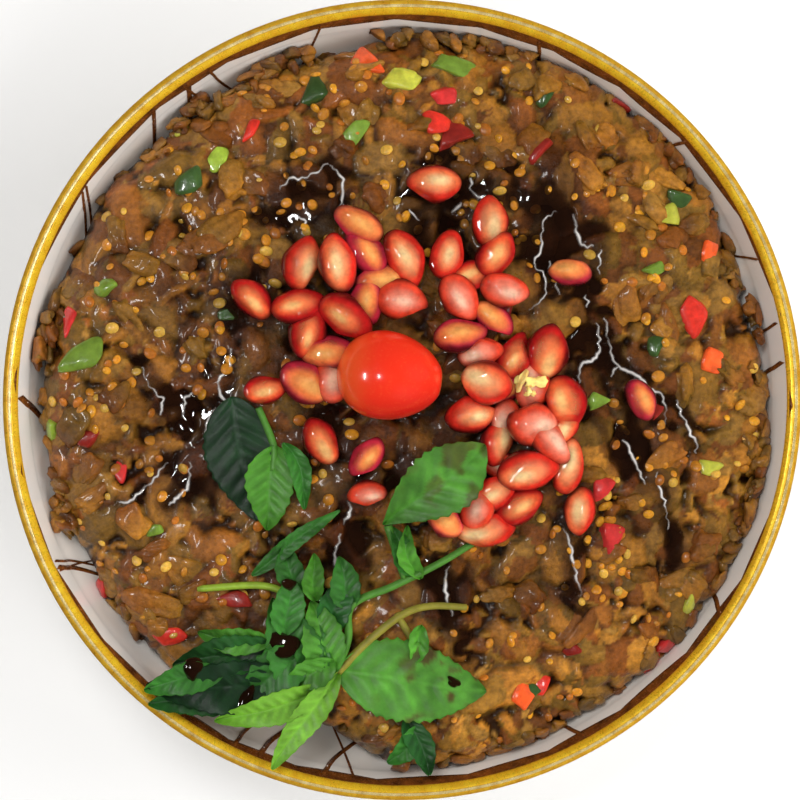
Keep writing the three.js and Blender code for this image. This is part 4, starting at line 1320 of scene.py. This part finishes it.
# Stems: tone and points of x, y, lift above the food. Leaves: base, tip, width, tone and form. The CAD
# solid of the sprig has fewer leaves.
SPRIGS = {
    "mint_sprig": (
        (
            ("cut", ((-50, -44, 0.6), (-33, -43.5, 1), (-25, -50, 2), (-17, -64, 2.5))),
            ("olive", ((14, -49, 0.6), (5, -48.5, 1), (-2, -50.5, 1.8), (-10, -57, 2.4), (-17, -64, 2.5))),
            ("green", ((17, -32.5, 0.6), (7.5, -38, 1), (-3.5, -43.5, 1.6), (-13.5, -48, 2.2),
              (-14.5, -56, 2.4),
                       (-17, -64, 2.5))),
            ("green", ((-1, -42, 1.2), (-5, -29, 0.8))),
            ("olive", ((-3, -50, 1.6), (3, -60, 0.8))),
        ),
        (
            dict(base=(-26, -67), tip=(-62, -66), width=12, tone="night", lift=(2, 1), crumple=0.9),
            dict(base=(-30, -57.5), tip=(-56, -62), width=9, tone="dark", lift=(2.5, 1.4), crumple=1),
            dict(base=(-36, -69.5), tip=(-61.5, -70), width=8, tone="dark", lift=(3.4, 1.2), crumple=0.8),
            dict(base=(-31, -68), tip=(-52, -59), width=8, tone="dark", lift=(4, 2.4), crumple=1),
            dict(base=(-44, -63), tip=(-62.5, -66.5), width=7, tone="mid", lift=(3.6, 2), crumple=1),
            dict(base=(-33, -57), tip=(-50, -54.5), width=6, tone="bright", lift=(3.4, 1.4), crumple=0.4),
            dict(base=(-21, -66), tip=(-25, -50), width=8, tone="mid", lift=(2, 1.4), crumple=0.5),
            dict(base=(-20, -55), tip=(-14, -41), width=7.5, tone="dark", lift=(1.6, 1), crumple=0.5),
            dict(base=(-27, -46), tip=(-29, -33), width=6.5, tone="mid", lift=(1.6, 1), crumple=0.6),
            dict(base=(-19, -68), tip=(-46, -75), width=7.2, tone="lime", lift=(3.6, 2.4)),
            dict(base=(-23.5, -70), tip=(-32, -46), width=13, tone="mid", fold=2, lift=(2.5, 1.5),
                 crumple=0.5),
            dict(base=(-24, -58), tip=(-40, -71), width=11, tone="mid", fold=1.4, lift=(3.4, 3.4),
                 crumple=0.5),
            dict(base=(-29, -55), tip=(-28.5, -40.5), width=7.5, tone="mid", lift=(2.6, 1.6), crumple=0.5),
            dict(base=(-17.5, -64), tip=(-23.5, -47), width=10, tone="bright", lift=(3.6, 2.4), crumple=0.3),
            dict(base=(-22, -47), tip=(-23, -35.5), width=4.8, tone="bright", lift=(2.4, 1)),
            dict(base=(-13.5, -49), tip=(-17, -36.5), width=7, tone="mid", lift=(2, 1), crumple=0.4),
            dict(base=(-37.5, -40.5), tip=(-16.5, -25.2), width=3.6, tone="mid", fold=0.5, lift=(1.4, 0.8)),
            dict(base=(0, -75), tip=(5, -88.5), width=6, tone="dark", lift=(1, 0.6), arch=1, crumple=0.5),
            dict(base=(4, -78), tip=(-5, -86), width=5.5, tone="mid", lift=(1, 0.8), arch=1, crumple=0.5),
            dict(base=(3.5, -53), tip=(0.5, -62), width=4.5, tone="bright", lift=(1.4, 1)),
            dict(base=(-18, -60.5), tip=(-29.5, -68.5), width=7, tone="bright", lift=(4.6, 4.2)),
            dict(base=(-17, -64), tip=(19, -69), width=19, tone="bright", fold=1, arch=2.4, lift=(2.6, 1.2),
                 crumple=0.5, stain=1),
            dict(base=(-17, -63.5), tip=(-32.5, -86.5), width=6.6, tone="lime", fold=0.8, lift=(3.6, 1.2)),
            dict(base=(-6, -29), tip=(17.5, -9.5), width=15.5, tone="bright", fold=1.2, arch=5.5,
                 lift=(1, 6.5),
                 crumple=0.3, full=1.25, stain=0.7),
            dict(base=(1.5, -41), tip=(-4.5, -29.5), width=5, tone="mid", lift=(1, 0.8)),
            dict(base=(2.5, -42), tip=(-1, -29), width=4.4, tone="bright", lift=(1.6, 1.4), side=1),
        ),
    ),
    "mint_leaves_left": (
        (("green", ((-35.5, -1, 0.6), (-32, -10, 0.6), (-32, -16, 0.6))),),
        (
            dict(base=(-42, 1.5), tip=(-36.5, -28), width=16, tone="night", fold=-0.6, arch=1.4,
                 lift=(0.6, 0.8)),
            dict(base=(-31.5, -10), tip=(-34, -30), width=11, tone="bright", fold=2, arch=1.4, lift=(1, 1.2),
                 crumple=0.3),
            dict(base=(-30, -9.5), tip=(-24.5, -25), width=4.6, tone="mid", side=2, lift=(0.8, 0.6)),
        ),
    ),
}
# Drops of sauce on the mint: x, y, length, width, turn in degrees.
DROPS = ((-30, -56.5, 5.6, 8.2, 5), (-38.5, -70, 7.6, 3.4, -10), (-28, -43, 3.2, 5, 20), (-51, -62, 6, 4, 20),
         (11, -67, 5, 2.2, 30))


def support_height(x, y):
    """What a garnish lies on: the mash, or the lip of the dish past its edge."""
    bridge = np.clip((np.hypot(x, y) - 78) / 11, 0, 1)
    mash = mash_height(x, y)
    return np.maximum(mash, mash * (1 - bridge) + (DISH_HEIGHT + 0.3) * bridge)


def leaf_mesh(random, base, tip, width, tone, fold=1.5, arch=2.0, lift=(1.6, 1.6), side=0.0, crumple=0.15,
              stain=0.0, full=0.8):
    """Toothed leaf with a sunk midrib and side veins, quilted between them, draped on the food."""
    rows, columns = 46, 25
    u, v = np.meshgrid(np.linspace(0, 1, rows), np.linspace(-1, 1, columns), indexing="ij")
    base, tip = np.array(base, dtype=float), np.array(tip, dtype=float)
    reach = np.linalg.norm(tip - base)
    way = (tip - base) / reach
    teeth = 1 + 0.06 * (np.abs((u * reach / 2.6) % 1 - 0.5) * 4 - 1) * np.abs(v) ** 4 * ramp(u, 0.12, 0.25)
    half = (width / 2) * np.sin(math.pi * u**full) ** 0.8 * teeth + 0.25
    bow = side * np.sin(math.pi * u) + 0.5 * np.sin(u * 5 + random.random() * 6)
    x = base[0] + way[0] * reach * u - way[1] * (v * half + bow)
    y = base[1] + way[1] * reach * u + way[0] * (v * half + bow)
    ends = [float(support_height(*base)) + lift[0], float(support_height(*tip)) + lift[1]]
    free = ends[0] * (1 - u) + ends[1] * u + arch * np.sin(math.pi * u) + fold * np.abs(v)
    z = np.maximum(free, support_height(x, y) + 1.3)
    across = np.abs(v) * half
    vein_phase = (u * reach - across * 0.8) / max(2.6, width * 0.26)
    vein = np.exp(-((vein_phase % 1 - 0.5) * 2 / 0.22) ** 2)
    vein = vein * ramp(np.abs(v), 0.02, 0.2) * (1 - 0.6 * np.abs(v))
    midrib = np.exp(-((across) / 0.45) ** 2) * (1 - 0.5 * u)
    quilt = np.cos((vein_phase % 1 - 0.5) * 2 * math.pi) * (1 - np.abs(v)) * np.minimum(1, across)
    crease = crumple * (0.9 * noise(x, y, 5.5, 40) + 0.6 * noise(x, y, 2.6, 42)) * np.sin(math.pi * u)
    z = np.maximum(z + crease, support_height(x, y) + 1.4)
    z = z - 0.3 * vein - 0.35 * midrib - 0.24 * quilt + 0.4 * np.sin(u * 14 + v * 2) * v**2
    thick = 0.2
    upper, lower = (np.stack([x, y, z + shift], axis=-1).reshape(-1, 3) for shift in (thick, -thick))
    points = np.concatenate([upper, lower])
    index = np.arange(rows * columns).reshape(rows, columns)
    top = np.stack([index[:-1, :-1], index[1:, :-1], index[1:, 1:], index[:-1, 1:]], axis=-1).reshape(-1, 4)
    ring = np.concatenate([index[0, :], index[1:, -1], index[-1, -2::-1], index[-2:0:-1, 0]])
    count = rows * columns
    sides = np.stack([ring, np.roll(ring, -1), np.roll(ring, -1) + count, ring + count], axis=-1)
    faces = np.concatenate([top[:, ::-1], top + count, sides])
    # painted shade: the leaf is darker in the creases of its crumple and lighter on its crests, over a tone
    # that wanders at random
    shade = np.clip(0.5 + 0.5 * noise(x, y, 6, 41) + 0.5 * crease / (crumple + 0.3), 0, 1)[..., None]
    green = LEAF_TONES[tone] * random.uniform(0.88, 1.12)
    tint = green * (0.6 + 0.55 * shade)
    ribs = np.clip(0.4 * vein + 0.7 * midrib, 0, 1)[..., None]
    # the veins are their own paler green; the darkening between them is painted shade
    tint = (tint * (1 - 0.5 * ribs) + green * 1.7 * 0.5 * ribs) * (1 - 0.25 * quilt[..., None])
    blots = ramp(noise(x, y, 5, 43) + 0.5 * noise(x, y, 2, 44), -0.1, 0.25)
    marks = stain * (blots * ramp(u, 0.15, 0.6))[..., None]
    tint = (tint * (1 - 0.9 * marks) + srgb(74, 46, 22) * 0.9 * marks).reshape(-1, 3)
    # the underside is painted darker: painted shade
    return points, faces, np.concatenate([tint, tint * 0.85 + 0.01])


def smooth_path(points, steps):
    """Curve through points, in even steps between each two."""
    points = np.array(points, dtype=float)
    padded = np.concatenate([points[:1] * 2 - points[1:2], points, points[-1:] * 2 - points[-2:-1]])
    curve = []
    for k in range(len(points) - 1):
        a, b, c, d = padded[k:k + 4]
        for t in np.linspace(0, 1, steps, endpoint=False):
            curve.append(0.5 * (2 * b + (c - a) * t + (2 * a - 5 * b + 4 * c - d) * t**2
                                + (3 * b - a - 3 * c + d) * t**3))
    return np.array(curve + [points[-1]])


def stem_mesh(points, radius):
    """Slightly four-sided stem through points of x, y and lift above what it lies on."""
    path = smooth_path([(x, y, float(support_height(x, y)) + radius + lift) for x, y, lift in points], 9)
    path[:, 2] = np.maximum(path[:, 2], support_height(path[:, 0], path[:, 1]) + radius)
    sides, rings = 12, []
    forward = np.gradient(path, axis=0)
    forward /= np.linalg.norm(forward, axis=1)[:, None]
    for k, (centre, way) in enumerate(zip(path, forward)):
        across = np.cross(way, [0, 0, 1])
        across /= np.linalg.norm(across)
        up = np.cross(across, way)
        thin = radius * (1 - 0.25 * (1 - k / len(path)))
        for side in range(sides):
            a = side / sides * 2 * math.pi
            rim = thin * (1 + 0.08 * math.cos(4 * a))
            rings.append(centre + across * math.cos(a) * rim + up * math.sin(a) * rim)
    faces = band_faces(len(path), sides)[:, [0, 3, 2, 1]]
    caps = []
    for start, flip in ((0, 1), ((len(path) - 1) * sides, -1)):
        ring = [start + k for k in range(sides)][::flip]
        caps += [(ring[0], ring[k], ring[k + 1]) for k in range(1, sides - 1)]
    return np.array(rings), faces, caps


def make_mint():
    random = np.random.default_rng(77)
    material = mint_material()
    for name, (stems, leaves) in SPRIGS.items():
        points, faces, tints, count = [], [], [], 0
        for leaf in leaves:
            body, quads, tint = leaf_mesh(random, **leaf)
            points.append(body)
            faces += (quads + count).tolist()
            tints.append(tint)
            count += len(body)
        for tone, path in stems:
            body, quads, caps = stem_mesh(path, STEM_RADIUS * 0.9)
            points.append(body)
            faces += (quads + count).tolist() + [tuple(k + count for k in cap) for cap in caps]
            tints.append(np.broadcast_to(STEM_TONES[tone], (len(body), 3)))
            count += len(body)
        sprig = mesh_object(name + "_leaves", np.concatenate(points), faces, material,
                            tint=np.concatenate(tints))
        settle(sprig, "mint", name)
        if name == "mint_sprig":
            make_drops(sprig)


def make_drops(sprig):
    """Drops of sauce that lie on the leaves."""
    random = np.random.default_rng(19)
    gather = Gather()
    points, faces = BALLS[3]
    for x, y, length, width, turn in DROPS:
        place, lie = landing(sprig, x, y)
        shape = points * (1 + lumps(points, random, ((1.8, 0.2),)))[:, None] * (length / 2, width / 2, 0.9)
        drop = shape @ rotation(turn * DEGREE).T @ lie.T + place
        gather.add(drop, faces, (0, 0, 0), np.full(len(points), 0.94))
    gather.make("sauce_drops", bpy.data.materials["sauce"], "mint")


# ------------------------------------------------------------------ the whole

add_camera()
add_surroundings()
make_dish()
relief = Relief()
make_mash(relief)
make_chunks(relief)
make_seeds(relief)
make_dice("green_pepper", GREEN_DICE, GREEN, relief, 41)
make_dice("red_pepper", RED_DICE, RED, relief, 43)
make_sauce(relief)
make_arils()
make_tomato()
make_mint()
